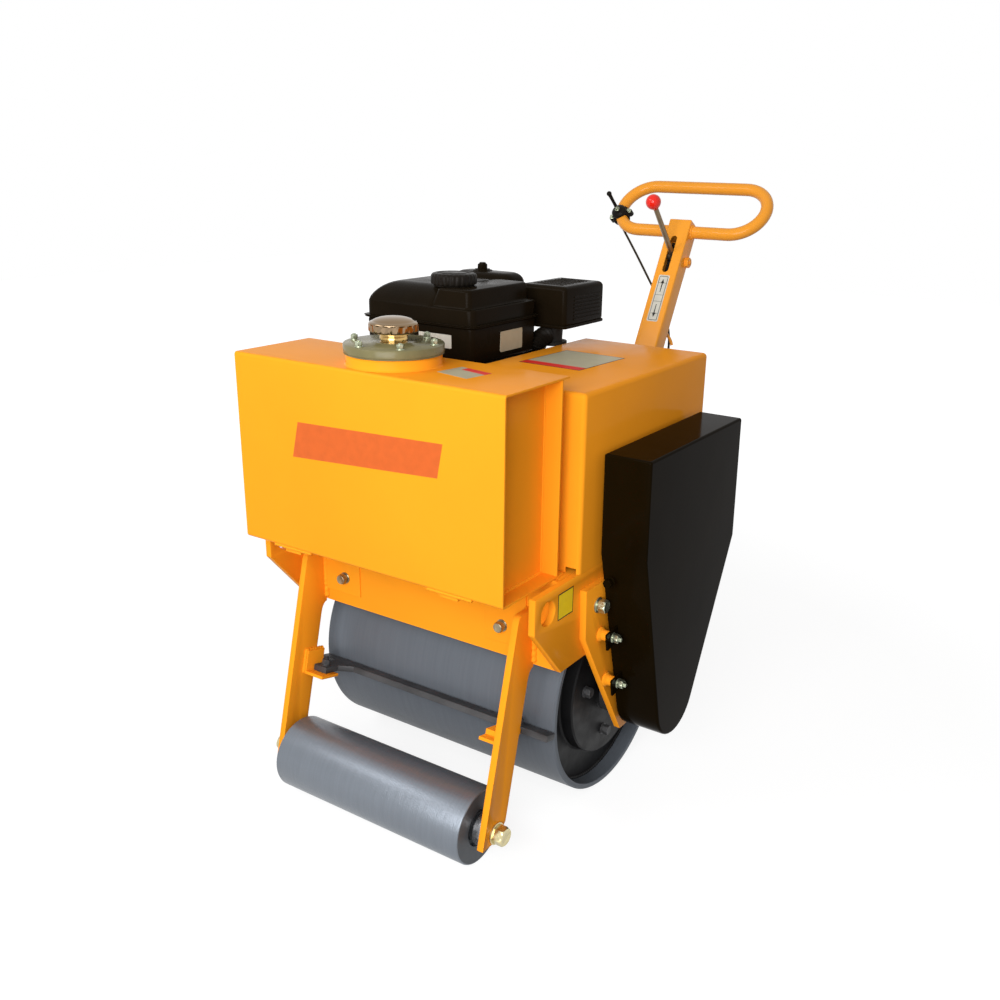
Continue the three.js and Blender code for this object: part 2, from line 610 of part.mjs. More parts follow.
class HalfLoop extends THREE.Curve {
  constructor(side, overlap) {
    super();
    this.side = side;
    this.overlap = overlap;
  }

  // From just past the middle of the lower bar, out round the end and back to the upper bar.
  getPoint(t) {
    const bar = LOOP.straight + this.overlap;
    const arc = Math.PI * LOOP.bend;
    const along = t * (2 * bar + arc);
    const turn = THREE.MathUtils.clamp((along - bar) / LOOP.bend, 0, Math.PI) - Math.PI / 2;
    const reach = Math.min(along, bar) - this.overlap - Math.max(along - bar - arc, 0);
    const rise = LOOP.bend * (1 + Math.sin(turn));
    return onLoopPlane(this.side * (reach + LOOP.bend * Math.cos(turn)), rise);
  }
}

function loopTube(radius) {
  const halves = SIDES.map(([, side]) => new HalfLoop(side, OVERLAP));
  return join(...halves.map((half) => tubeAlong(half, radius, FLATS.lever, LOOP_STEPS)));
}

function handleArm() {
  const half = HANDLE.depth / 2;
  const side = outline([
    [-half, HANDLE.low], [half, HANDLE.low], [half, HANDLE.top - HANDLE.chamfer],
    [half - HANDLE.chamferDepth, HANDLE.top], [-half, HANDLE.top],
  ]);
  const tube = plateAcross(side, -HANDLE.half, HANDLE.half);
  const wall = HANDLE.wall;
  const hollow = block(-HANDLE.half + wall, HANDLE.half - wall, -half + wall, half - wall,
    ARM_HOLLOW.low, ARM_HOLLOW.high);
  const slot = block(
    SLOT.left, SLOT.right, -half - OVERLAP, -half + wall + OVERLAP, SLOT.low, SLOT.high);
  const bore = rod(PIVOT.pinR + GAP, -BORE_REACH, BORE_REACH, 0, 0);
  return cut(tube, hollow, slot, bore, rod(LOOP.tube + GAP, -BORE_REACH, BORE_REACH, 0, LOOP.base));
}

function throttleClamp() {
  const turn = Math.PI + CLAMP.angle;
  const centre = loopPoint(turn);
  const along = loopPoint(turn + CLAMP.probe).sub(loopPoint(turn - CLAMP.probe)).normalize();
  const half = along.clone().multiplyScalar(CLAMP.length / 2);
  const from = centre.clone().sub(half).toArray();
  const to = centre.clone().add(half).toArray();
  const sleeve = barBetween(from, to, CLAMP.outer, FLATS.sleeve);
  const { left, right, front, back, below, above } = CLAMP_BOSS;
  const boss = block(centre.x - left, centre.x + right, centre.y - front, centre.y - back,
    centre.z - below, centre.z + above);
  return cut(join(sleeve, boss), loopTube(LOOP.tube + GAP));
}

function throttleLever() {
  const { foot, tip, radius, tipR } = THROTTLE_LEVER;
  const end = new THREE.SphereGeometry(tipR, FLATS.lever, FLATS.cord).translate(...tip);
  return join(barBetween(foot, tip, radius, FLATS.cord), end);
}

function leverKnob() {
  const ball = new THREE.SphereGeometry(LEVER.ballR, FLATS.rod, FLATS.standoff);
  const bore = barBetween(LEVER.foot, LEVER.ball, LEVER.radius + GAP, FLATS.lever);
  return cut(ball.translate(...LEVER.ball), bore);
}

function cable(route, steps) {
  return tubeAlong(curveThrough(route), CABLE_R, FLATS.cord, steps);
}

function buildHandle() {
  place(group, 'handle_bracket', handleBracket(), 'yellow');
  place(group, 'handle_pivot_pin', pivotPin(), 'zinc');
  place(handle, 'handle_arm', handleArm(), 'yellow');
  place(handle, 'handle_loop', loopTube(LOOP.tube), 'yellow');
  const stem = barBetween(LEVER.foot, LEVER.ball, LEVER.radius, FLATS.lever);
  place(handle, 'travel_lever', stem, 'steel');
  place(handle, 'lever_knob', leverKnob(), 'red');
  place(handle, 'throttle_clamp', throttleClamp(), 'black');
  place(handle, 'throttle_lever', throttleLever(), 'black');
  place(handle, 'throttle_cable_upper', cable(UPPER_CABLE, CABLE_STEPS.upper), 'rubber');
  place(group, 'throttle_cable_lower', cable(LOWER_CABLE, CABLE_STEPS.lower), 'rubber');
}

buildFrame();
buildRollers();
buildTank();
buildCovers();
buildEngine();
buildHandle();

export default group;
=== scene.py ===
"""Looks of a walk-behind single-drum roller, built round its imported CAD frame.

Metres, +Z up. The water tank is at -Y, the operator's handle at +Y and the belt guard at +X.
"""
import json
import math
import random

import bmesh
import bpy
from mathutils import Matrix, Vector


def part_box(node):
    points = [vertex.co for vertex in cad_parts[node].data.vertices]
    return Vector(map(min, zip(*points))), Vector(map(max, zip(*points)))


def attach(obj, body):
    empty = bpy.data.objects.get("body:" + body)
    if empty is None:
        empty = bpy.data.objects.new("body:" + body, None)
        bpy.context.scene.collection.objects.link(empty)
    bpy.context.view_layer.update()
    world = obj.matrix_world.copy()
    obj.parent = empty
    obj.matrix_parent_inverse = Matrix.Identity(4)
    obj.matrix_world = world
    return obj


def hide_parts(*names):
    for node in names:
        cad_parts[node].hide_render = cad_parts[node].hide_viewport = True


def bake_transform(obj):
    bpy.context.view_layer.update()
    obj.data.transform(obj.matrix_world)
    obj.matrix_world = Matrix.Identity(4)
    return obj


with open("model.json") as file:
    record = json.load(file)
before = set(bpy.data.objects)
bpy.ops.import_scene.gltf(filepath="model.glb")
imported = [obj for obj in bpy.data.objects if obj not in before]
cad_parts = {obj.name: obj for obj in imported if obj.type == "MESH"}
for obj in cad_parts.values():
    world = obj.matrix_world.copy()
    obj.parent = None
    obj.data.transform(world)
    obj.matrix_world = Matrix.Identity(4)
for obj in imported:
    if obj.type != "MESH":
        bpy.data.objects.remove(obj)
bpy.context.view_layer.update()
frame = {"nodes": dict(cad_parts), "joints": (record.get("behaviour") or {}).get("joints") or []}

MM = 0.001
X, Y, Z = Vector((1, 0, 0)), Vector((0, 1, 0)), Vector((0, 0, 1))
SIDES = (("left", -1), ("right", 1))

JOINTS = {joint["name"]: joint for joint in frame["joints"]}
AXLE = Vector(JOINTS["drum_spin"]["pos_m"])
ROLLER_AXLE = Vector(JOINTS["front_roller_spin"]["pos_m"])
PIVOT = Vector(JOINTS["handle_fold"]["pos_m"])
MIDDLE = AXLE.x
LEAN = math.radians(28.5)
HANDLE = Matrix.Translation(PIVOT) @ Matrix.Rotation(-LEAN, 4, "X")

# Camera: the lens and the place from which the machine was photographed.
CAMERA_PLACE = (1.17932, -2.00809, 1.29276)
CAMERA_YAW, CAMERA_PITCH, CAMERA_ROLL = -0.574391, 0.333780, -0.0203119
CAMERA_LENS, CAMERA_SHIFT = 37.149, (-0.02624, 0.01412)


# ---------------------------------------------------------------- mesh helpers
def cross_axes(axis):
    """Two unit vectors square to an axis."""
    along = Vector(axis).normalized()
    up = Z if abs(along.z) < 0.9 else Y
    side = up.cross(along).normalized()
    return side, along.cross(side)


def circle(centre, axis, radius, steps=32):
    """Points round an axis. The radius is a number or a function of the angle."""
    u, v = cross_axes(axis)
    points = []
    for i in range(steps):
        angle = math.tau * i / steps
        reach = radius(angle) if callable(radius) else radius
        points.append(Vector(centre) + (u * math.cos(angle) + v * math.sin(angle)) * reach)
    return points


def loft(bm, rings, mat=0, loop=False):
    """Skins a row of closed rings that all have the same number of points."""
    rows = [[bm.verts.new(point) for point in ring] for ring in rings]
    pairs = list(zip(rows, rows[1:]))
    if loop:
        pairs.append((rows[-1], rows[0]))
    for near, far in pairs:
        for i in range(len(near)):
            j = (i + 1) % len(near)
            bm.faces.new((near[i], near[j], far[j], far[i])).material_index = mat
    if not loop:
        bm.faces.new(rows[0][::-1]).material_index = mat
        bm.faces.new(rows[-1]).material_index = mat


def turned(bm, centre, axis, profile, steps=32, loop=False):
    """A turned shape: the profile is (radius, height) along the axis."""
    along = Vector(axis).normalized()
    rings = [circle(Vector(centre) + along * height, axis, radius, steps) for radius, height in profile]
    loft(bm, rings, loop=loop)


def mm(*pairs):
    """Pairs given in millimetres, in metres."""
    return [(a * MM, b * MM) for a, b in pairs]


def from_corner(radius, height, *pairs):
    """A stretch of a profile, given in millimetres from a radius and a height."""
    return [(radius + a * MM, height + b * MM) for a, b in pairs]


def around(centre, radius, count, start=0.0):
    """Places on a circle that stands across the machine, about the x direction."""
    for i in range(count):
        angle = start + i * math.tau / count
        yield centre + Vector((0, radius * math.cos(angle), radius * math.sin(angle)))


PLANES = {
    "x": lambda a, u, v: (a, u, v),
    "y": lambda a, u, v: (u, a, v),
    "z": lambda a, u, v: (u, v, a),
}


def prism(bm, outline, axis, start, end, mat=0):
    """An outline pulled straight along an axis."""
    loft(bm, [[PLANES[axis](a, u, v) for u, v in outline] for a in (start, end)], mat)


def box(bm, low, high):
    corners = [(low[0], low[1]), (high[0], low[1]), (high[0], high[1]), (low[0], high[1])]
    prism(bm, corners, "z", low[2], high[2])


def fillet(points, radii, steps=5):
    """A polygon with rounded corners: one radius for all, or one for each corner."""
    corners = [Vector(point) for point in points]
    rounded = []
    for i, corner in enumerate(corners):
        radius = radii[i] if isinstance(radii, (list, tuple)) else radii
        if not radius:
            rounded.append(corner)
            continue
        to_last = corners[i - 1] - corner
        to_next = corners[(i + 1) % len(corners)] - corner
        half = to_last.angle(to_next) / 2
        cut = min(radius / math.tan(half), 0.49 * to_last.length, 0.49 * to_next.length)
        radius = cut * math.tan(half)
        middle = (to_last.normalized() + to_next.normalized()).normalized()
        centre = corner + middle * (radius / math.sin(half))
        first = (corner + to_last.normalized() * cut - centre).normalized()
        last = (corner + to_next.normalized() * cut - centre).normalized()
        rounded += [centre + first.slerp(last, k / steps) * radius for k in range(steps + 1)]
    return rounded


def rectangle(u0, u1, v0, v1):
    return [(u0, v0), (u1, v0), (u1, v1), (u0, v1)]


def resample(points, spacing):
    points = [Vector(point) for point in points]
    spaced = []
    for a, b in zip(points, points[1:]):
        count = max(1, round((b - a).length / spacing))
        spaced += [a.lerp(b, i / count) for i in range(count)]
    return spaced + [points[-1]]


def spline(points, steps=8):
    """A smooth Catmull-Rom curve through the points."""
    points = [Vector(point) for point in points]
    ends = [2 * points[0] - points[1], *points, 2 * points[-1] - points[-2]]
    curve = []
    for a, b, c, d in zip(ends, ends[1:], ends[2:], ends[3:]):
        for i in range(steps):
            t = i / steps
            curve.append(0.5 * (2 * b + (c - a) * t + (2 * a - 5 * b + 4 * c - d) * t**2
                                + (3 * b - a - 3 * c + d) * t**3))
    return curve + [points[-1]]


def tube(bm, path, radius, sides=16, loop=False):
    """A tube along a path. The radius is a number or one for each point."""
    path = [Vector(point) for point in path]
    rings = []
    normal = None
    for i, point in enumerate(path):
        ahead = path[(i + 1) % len(path)] if loop or i + 1 < len(path) else point
        behind = path[i - 1] if loop or i else point
        along = (ahead - behind).normalized()
        if normal is None:
            normal = cross_axes(along)[0]
        normal = (normal - along * normal.dot(along)).normalized()
        side = along.cross(normal)
        reach = radius[i] if isinstance(radius, list) else radius
        turns = [math.tau * k / sides for k in range(sides)]
        rings.append([point + (normal * math.cos(a) + side * math.sin(a)) * reach for a in turns])
    loft(bm, rings, loop=loop)


def hexagon(across, limit):
    """The outline of a hexagon whose corners are turned down to a limit."""
    def radius(angle):
        flat = across / 2 / math.cos(angle % (math.pi / 3) - math.pi / 6)
        return min(flat, limit)
    return radius


def hex_head(bm, seat, axis, across, height):
    corner = across / 2 / math.cos(math.pi / 6)
    shape = ((0, 0.94), (0.06, 1), (0.78, 1), (0.88, 0.955), (0.96, 0.89), (1, 0.82))
    rings = [circle(seat + axis * height * up, axis, hexagon(across, corner * limit), 36)
             for up, limit in shape]
    rings.append(circle(seat + axis * height * 0.95, axis, across * 0.34, 36))
    loft(bm, rings)


def stud(bm, seat, axis, radius, length):
    """A threaded end that stands out of a nut."""
    pitch = radius * 0.3
    profile = []
    for i in range(max(2, int(length / pitch))):
        profile += [(radius * 0.86, i * pitch), (radius, (i + 0.5) * pitch)]
    profile.append((radius * 0.7, length))
    turned(bm, seat, axis, profile, 20)


def bolt(bm, seat, axis, across, washer=1.3, spring=True, end=0.0):
    """A hex head or nut on its washers, with the end of its stud where one shows."""
    axis = Vector(axis).normalized()
    seat = Vector(seat)
    thick = across * 0.11
    rims = [(across * washer / 2, thick)] if washer else []
    if spring:
        rims.append((across * 0.5, thick * 1.1))
    for rim, height in rims:
        profile = [(rim, 0), (rim, height * 0.75), (rim * 0.95, height)]
        turned(bm, seat, axis, profile)
        seat = seat + axis * height
    head = across * 0.6
    hex_head(bm, seat, axis, across, head)
    if end:
        stud(bm, seat + axis * head * 0.9, axis, across * 0.3, end)


def weld(bm, points, radius, seed):
    """A bead of overlapping ripples along a line."""
    rng = random.Random(seed)
    path = resample(points, radius * 0.34)
    radii = []
    for i in range(len(path)):
        ripple = abs(math.sin(i * 0.62 + rng.uniform(-0.2, 0.2)))
        radii.append(radius * (0.84 + 0.22 * ripple))
    radii[0] = radii[-1] = radius * 0.45
    wander = [Vector([rng.uniform(-0.07, 0.07) * radius for _ in range(3)]) for _ in path]
    tube(bm, [point + off for point, off in zip(path, wander)], radii, 10)


def outline_of(node, axis, side):
    """The outer edge of a CAD node's flat end, as (u, v) points, from its own mesh."""
    mesh = frame["nodes"][node].data
    index = "xyz".index(axis)
    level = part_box(node)[side > 0][index]
    bm = bmesh.new()
    bm.from_mesh(mesh)
    bmesh.ops.remove_doubles(bm, verts=bm.verts, dist=0.01 * MM)
    flat = [f for f in bm.faces if all(abs(v.co[index] - level) < 0.02 * MM for v in f.verts)]
    rim = {}
    for face in flat:
        for loop in face.loops:
            if sum(f in flat for f in loop.edge.link_faces) == 1:
                rim[loop.vert] = loop.link_loop_next.vert
    vert = next(iter(rim))
    points = []
    while vert in rim:
        points.append(tuple(c for i, c in enumerate(vert.co) if i != index))
        vert = rim.pop(vert)
    bm.free()
    return points


# ---------------------------------------------------------------- pieces
def round_edges(obj, width, segments):
    bevel = obj.modifiers.new("rounded edges", "BEVEL")
    bevel.width = width
    bevel.segments = segments
    bevel.limit_method = "ANGLE"
    bevel.angle_limit = math.radians(30)
    bevel.harden_normals = True


def linked(name, data):
    obj = bpy.data.objects.new(name, data)
    bpy.context.scene.collection.objects.link(obj)
    return obj


def smooth(mesh):
    mesh.polygons.foreach_set("use_smooth", [True] * len(mesh.polygons))


def mesh_of(name, bm):
    """Empties a bmesh into a mesh whose faces point out."""
    bmesh.ops.recalc_face_normals(bm, faces=bm.faces)
    mesh = bpy.data.meshes.new(name)
    bm.to_mesh(mesh)
    bm.free()
    return mesh


def shaped(name, bm, materials, matrix=None):
    """Turns a bmesh into a smooth object."""
    mesh = mesh_of(name, bm)
    if matrix:
        mesh.transform(matrix)
    for material in materials if isinstance(materials, (list, tuple)) else [materials]:
        mesh.materials.append(material)
    smooth(mesh)
    return linked(name, mesh)


def piece(name, bm, body, materials, replaces=(), matrix=None, bevel=0.0, segments=3, sharp=35):
    """Turns a bmesh into a named piece that rides on a body."""
    obj = shaped(name, bm, materials, matrix)
    if bevel:
        round_edges(obj, bevel, segments)
    else:
        obj.data.set_sharp_from_angle(angle=math.radians(sharp))
    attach(obj, body)
    if replaces:
        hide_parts(*replaces)
    return obj


def apply_modifiers(obj):
    shape = obj.evaluated_get(bpy.context.evaluated_depsgraph_get())
    mesh = bpy.data.meshes.new_from_object(shape)
    obj.modifiers.clear()
    obj.data = mesh


def cut_away(obj, cutter_bm):
    """Takes the cutter's shape out of a piece for good."""
    cutter = linked("cutter", mesh_of("cutter", cutter_bm))
    boolean = obj.modifiers.new("cut", "BOOLEAN")
    boolean.object = cutter
    boolean.solver = "EXACT"
    bpy.context.view_layer.update()
    apply_modifiers(obj)
    bpy.data.objects.remove(cutter)


def dress(node, material, bevel=0.0, segments=3):
    """Gives a CAD node that stays its material, and softens its edges."""
    obj = frame["nodes"][node]
    obj.data.materials.clear()
    obj.data.materials.append(material)
    smooth(obj.data)
    weld_up = obj.modifiers.new("weld", "WELD")
    weld_up.merge_threshold = 0.01 * MM
    flatten = obj.modifiers.new("flatten", "DECIMATE")
    flatten.decimate_type = "DISSOLVE"
    flatten.angle_limit = math.radians(0.5)
    if bevel:
        round_edges(obj, bevel, segments)


# ---------------------------------------------------------------- materials
def add_node(tree, kind, inputs=None, **settings):
    made = tree.nodes.new(kind)
    for key, value in settings.items():
        setattr(made, key, value)
    for key, value in (inputs or {}).items():
        if isinstance(value, bpy.types.NodeSocket):
            tree.links.new(value, made.inputs[key])
        else:
            made.inputs[key].default_value = value
    return made


def noise_of(tree, place, scale, detail=3.0, stretch=(1, 1, 1)):
    spot = add_node(tree, "ShaderNodeMapping", {"Vector": place, "Scale": stretch})
    made = add_node(tree, "ShaderNodeTexNoise",
                    {"Vector": spot.outputs["Vector"], "Scale": scale, "Detail": detail})
    return made.outputs["Fac"]


def spread_of(tree, value, low, high, start=0.3, stop=0.7):
    made = add_node(tree, "ShaderNodeMapRange", {
        "Value": value, "From Min": start, "From Max": stop, "To Min": low, "To Max": high})
    return made.outputs["Result"]


def blend_of(tree, share, first, second):
    made = add_node(tree, "ShaderNodeMix", {0: share, 6: first, 7: second}, data_type="RGBA")
    return made.outputs[2]


def shade_of(colour, factor):
    return (*[min(1.0, channel * factor) for channel in colour], 1.0)


def surface(name, colour, rough, metallic=0.0, coat=0.0, specular=0.5, tint=0.05, tint_scale=6.0,
            rough_spread=0.05, rough_scale=30.0, grain=0.012, grain_scale=500.0,
            wave=0.0, wave_scale=9.0, stretch=(1, 1, 1), dust=0.0):
    """A finish with its own colour drift, uneven gloss, fine grain, slow waves and settled dust."""
    material = bpy.data.materials.new(name)
    material.use_nodes = True
    tree = material.node_tree
    shader = tree.nodes["Principled BSDF"]
    place = add_node(tree, "ShaderNodeTexCoord").outputs["Object"]
    drift = spread_of(tree, noise_of(tree, place, tint_scale, 4, stretch), 0.0, 1.0)
    colour_out = blend_of(tree, drift, shade_of(colour, 1 - tint), shade_of(colour, 1 + tint))
    rough_noise = noise_of(tree, place, rough_scale, 5, stretch)
    rough_out = spread_of(tree, rough_noise, rough - rough_spread, rough + rough_spread)
    if dust:
        up = add_node(tree, "ShaderNodeSeparateXYZ",
                      {0: add_node(tree, "ShaderNodeNewGeometry").outputs["Normal"]})
        level = spread_of(tree, up.outputs["Z"], 0.0, dust, 0.3, 1.0)
        patch = spread_of(tree, noise_of(tree, place, 38, 6), 0.15, 1.0, 0.35, 0.75)
        share = add_node(tree, "ShaderNodeMath", {0: level, 1: patch}, operation="MULTIPLY").outputs[0]
        colour_out = blend_of(tree, share, colour_out, (0.55, 0.5, 0.42, 1))
        rough_out = add_node(tree, "ShaderNodeMath", {0: share, 1: rough_out}, operation="ADD").outputs[0]
    tree.links.new(colour_out, shader.inputs["Base Color"])
    tree.links.new(rough_out, shader.inputs["Roughness"])
    fine = add_node(tree, "ShaderNodeBump", {
        "Strength": 1.0, "Distance": grain / grain_scale,
        "Height": noise_of(tree, place, grain_scale, 2, stretch)})
    normal = fine.outputs["Normal"]
    if wave:
        slow = add_node(tree, "ShaderNodeBump", {
            "Strength": 1.0, "Distance": wave / wave_scale,
            "Height": noise_of(tree, place, wave_scale, 1), "Normal": normal})
        normal = slow.outputs["Normal"]
    tree.links.new(normal, shader.inputs["Normal"])
    shader.inputs["Metallic"].default_value = metallic
    shader.inputs["Coat Weight"].default_value = coat
    shader.inputs["Coat Roughness"].default_value = 0.05
    shader.inputs["Specular IOR Level"].default_value = specular
    return material


# Noise that changes fast along an axle and slowly round it, like turning marks.
TURNED = (60, 2.5, 2.5)

YELLOW = surface("yellow paint", (0.95, 0.335, 0.016), 0.18, specular=0.014, tint=0.035, tint_scale=4,
                 rough_spread=0.05, grain=0.010, grain_scale=420, wave=0.006, wave_scale=7, dust=0.006)
HANDLE_YELLOW = surface("handle paint", (0.90, 0.350, 0.030), 0.20, specular=0.15, tint=0.03, tint_scale=6,
                        rough_spread=0.04, grain=0.008, grain_scale=420, dust=0.006)
GUARD = surface("guard black", (0.007, 0.004, 0.001), 0.12, specular=0.010, tint=0.2, rough_spread=0.04,
                grain=0.006, grain_scale=350, wave=0.004, wave_scale=8, dust=0.003)
ENGINE_BLACK = surface("engine black", (0.009, 0.006, 0.003), 0.24, specular=0.018, tint=0.2,
                       rough_spread=0.07, grain=0.02, grain_scale=600, dust=0.004)
CASTING = surface("black casting", (0.018, 0.016, 0.014), 0.5, metallic=0.2, specular=0.12, tint=0.25,
                  tint_scale=25, rough_spread=0.1, grain=0.12, grain_scale=420, dust=0.04)
DARK_STEEL = surface("dark steel", (0.060, 0.060, 0.062), 0.42, metallic=0.3, specular=0.15, tint=0.25,
                     tint_scale=18, rough_spread=0.12, grain=0.06, grain_scale=500, dust=0.02)
HUB_BLACK = surface("hub paint", (0.010, 0.010, 0.0105), 0.45, specular=0.12, tint=0.3, tint_scale=14,
                    rough_spread=0.1, grain=0.05, grain_scale=450, dust=0.02)
DRUM_STEEL = surface("turned drum steel", (0.118, 0.132, 0.152), 0.42, metallic=0.15, specular=0.10,
                     tint=0.04, tint_scale=3, rough_spread=0.02, rough_scale=5, grain=0.006,
                     grain_scale=16, stretch=TURNED)
ROLLER_STEEL = surface("turned roller steel", (0.188, 0.210, 0.240), 0.34, metallic=0.58, specular=0.2,
                       tint=0.04, tint_scale=3, rough_spread=0.02, rough_scale=5, grain=0.006,
                       grain_scale=16, stretch=TURNED)
ROLLER_END = surface("roller end", (0.060, 0.066, 0.074), 0.5, metallic=0.5, tint=0.15, tint_scale=20,
                     grain=0.05)
ZINC = surface("yellow zinc", (0.60, 0.53, 0.30), 0.28, metallic=0.95, tint=0.22, tint_scale=60,
               rough_spread=0.1, rough_scale=120, grain=0.04, grain_scale=900)
AGED_ZINC = surface("aged zinc", (0.30, 0.25, 0.16), 0.34, metallic=0.85, tint=0.28, tint_scale=70,
                    rough_spread=0.1, rough_scale=120, grain=0.04, grain_scale=900)
ZINC_GREEN = surface("green zinc", (0.42, 0.45, 0.33), 0.30, metallic=0.9, tint=0.25, tint_scale=70,
                     rough_spread=0.1, rough_scale=120, grain=0.04, grain_scale=900)
BARE_STEEL = surface("bare steel", (0.48, 0.48, 0.49), 0.26, metallic=1.0, tint=0.08, tint_scale=40,
                     rough_spread=0.08, rough_scale=90, grain=0.03, grain_scale=700)
RESIN = surface("filler flange", (0.185, 0.162, 0.075), 0.24, specular=0.14, coat=0.03, tint=0.18,
                tint_scale=16, rough_spread=0.08, grain=0.03, grain_scale=300)
BRASS = surface("neck brass", (0.55, 0.36, 0.13), 0.22, metallic=1.0, tint=0.3, tint_scale=45,
                rough_spread=0.08, grain=0.02)
CHROME = surface("cap chrome", (0.27, 0.19, 0.115), 0.08, metallic=1.0, tint=0.04, rough_spread=0.02,
                 grain=0.006, grain_scale=200)
LEVER_STEEL = surface("lever steel", (0.205, 0.155, 0.095), 0.34, metallic=0.8, tint=0.2, tint_scale=30,
                      rough_spread=0.1, grain=0.05, grain_scale=300)
RED = surface("knob red", (0.86, 0.020, 0.009), 0.14, specular=0.25, coat=0.08, tint=0.04,
              rough_spread=0.03, grain=0.004)
PLASTIC = surface("black plastic", (0.010, 0.0080, 0.006), 0.38, specular=0.06, tint=0.2, tint_scale=40,
                  rough_spread=0.08, grain=0.06, grain_scale=900, dust=0.02)
SHEATH = surface("cable sheath", (0.026, 0.018, 0.009), 0.5, specular=0.1, tint=0.25, tint_scale=60,
                 grain=0.05)
# Near-black for the inside of the hollow handle arm: painted shade, where the inside of the tube shows
# through its slot.
PAINTED_SHADE_BLACK = surface("painted shade inside", (0.006, 0.005, 0.004), 0.8, tint=0.2)


def label(name, colour):
    return surface(name, colour, 0.42, specular=0.15, tint=0.05, tint_scale=60, rough_spread=0.06,
                   grain=0.02, grain_scale=1500)


LABEL_WHITE = label("label white", (0.62, 0.60, 0.52))
LABEL_SILVER = label("label silver", (0.46, 0.41, 0.27))
LABEL_RED = label("label red", (0.72, 0.020, 0.012))
LABEL_ORANGE = label("label orange", (0.60, 0.115, 0.022))
LABEL_YELLOW = label("label yellow", (0.98, 0.66, 0.015))
LABEL_TAN = label("label tan", (0.42, 0.36, 0.25))
LABEL_BORDER = label("label border", (0.12, 0.12, 0.10))
LABEL_BLACK = label("label black", (0.012, 0.010, 0.008))


# ---------------------------------------------------------------- camera, light and floor
def build_camera():
    yaw, pitch, roll = CAMERA_YAW, CAMERA_PITCH, CAMERA_ROLL
    forward = Vector((math.sin(yaw) * math.cos(pitch), math.cos(yaw) * math.cos(pitch), -math.sin(pitch)))
    level = Vector((math.cos(yaw), -math.sin(yaw), 0))
    down = forward.cross(level)
    right = math.cos(roll) * level + math.sin(roll) * down
    down = math.cos(roll) * down - math.sin(roll) * level
    camera = linked("camera", bpy.data.cameras.new("camera"))
    camera.data.lens = CAMERA_LENS
    camera.data.sensor_width = 36
    camera.data.shift_x, camera.data.shift_y = CAMERA_SHIFT
    camera.data.clip_start = 0.05
    turn = Matrix((right, -down, -forward)).transposed().to_4x4()
    camera.matrix_world = Matrix.Translation(CAMERA_PLACE) @ turn
    bpy.context.scene.camera = camera


def softbox(name, place, aim, width, height, level):
    """An area lamp whose level is the brightness it gives a white surface that faces it."""
    place, aim = Vector(place), Vector(aim)
    lamp = bpy.data.lights.new(name, "AREA")
    lamp.shape = "RECTANGLE"
    lamp.size, lamp.size_y = width, height
    lamp.energy = level * math.pi**2 * (place - aim).length_squared
    obj = linked(name, lamp)
    obj.location = place
    obj.rotation_euler = (aim - place).to_track_quat("-Z", "Y").to_euler()


def seen_directly(tree):
    """1 for what the camera sees, straight, in a reflection or through glass, and 0 for light."""
    path = add_node(tree, "ShaderNodeLightPath")
    both = add_node(tree, "ShaderNodeMath", {0: path.outputs["Is Camera Ray"],
                                             1: path.outputs["Is Glossy Ray"]}, operation="MAXIMUM")
    return add_node(tree, "ShaderNodeMath", {0: both.outputs[0], 1: path.outputs["Is Transmission Ray"]},
                    operation="MAXIMUM").outputs[0]


def build_world(ambient):
    world = bpy.data.worlds.new("studio")
    bpy.context.scene.world = world
    world.use_nodes = True
    tree = world.node_tree
    strength = spread_of(tree, seen_directly(tree), ambient, 1.0, 0.0, 1.0)
    background = tree.nodes["Background"]
    background.inputs["Color"].default_value = (1, 1, 1, 1)
    tree.links.new(strength, background.inputs["Strength"])


def build_floor(half, near, far, lift_near, lift_far):
    """A pale floor that fades to the white of the backdrop with distance from the object."""
    mesh = bpy.data.meshes.new("floor")
    corners = [(u, v, 0) for u, v in rectangle(-half, half, -half, half)]
    mesh.from_pydata(corners, [], [(0, 1, 2, 3)])
    floor = linked("floor", mesh)
    material = surface("floor", (0.22, 0.22, 0.22), 0.9, specular=0.05, tint=0.004, tint_scale=2, grain=0.0)
    tree = material.node_tree
    shader = tree.nodes["Principled BSDF"]
    shader.inputs["Emission Color"].default_value = (1, 1, 1, 1)
    place = add_node(tree, "ShaderNodeTexCoord").outputs["Object"]
    away = add_node(tree, "ShaderNodeVectorMath", {0: place}, operation="LENGTH").outputs["Value"]
    lift = spread_of(tree, away, lift_near, lift_far, near, far)
    seen = add_node(tree, "ShaderNodeMath", {0: seen_directly(tree), 1: lift}, operation="MULTIPLY")
    tree.links.new(seen.outputs[0], shader.inputs["Emission Strength"])
    mesh.materials.append(material)


def build_stage():
    build_world(ambient=0.38)
    middle = Vector((MIDDLE, AXLE.y, 0.55))
    softbox("front softbox", middle + Vector((0.31, -0.90, 0.32)) * 3.6, middle, 2.4, 2.0, 1.0)
    softbox("roller softbox", middle + Vector((-0.45, -0.62, 0.64)) * 3.2, middle, 1.6, 0.9, 0.24)
    build_floor(half=9.0, near=1.0, far=2.8, lift_near=0.85, lift_far=1.0)
    bpy.context.scene.view_settings.view_transform = "Standard"


# ---------------------------------------------------------------- frame
# Places are given from the middle of the machine, the drum's axle and the floor.
FRONT_FACE, REAR_FACE, BRACKET_FACE, YOKE_FACE = 0.272, 0.352, 0.364, 0.347
ARM_LEAN = math.atan(0.2504)
SCRAPER_AXIS = {"back": -0.255, "up": 0.220}
SCRAPER_THICK = 13 * MM
BRACKET_SEAM = ((-0.101, -0.006), (-0.101, 0.044), (-0.052, 0.044))
PAD = {"width": 0.098, "thick": 3 * MM, "bottom": 0.027, "chamfer": 0.016}
BOLT_M12, BOLT_M16, BOLT_M8, BOLT_M10 = 19 * MM, 24 * MM, 13 * MM, 16 * MM
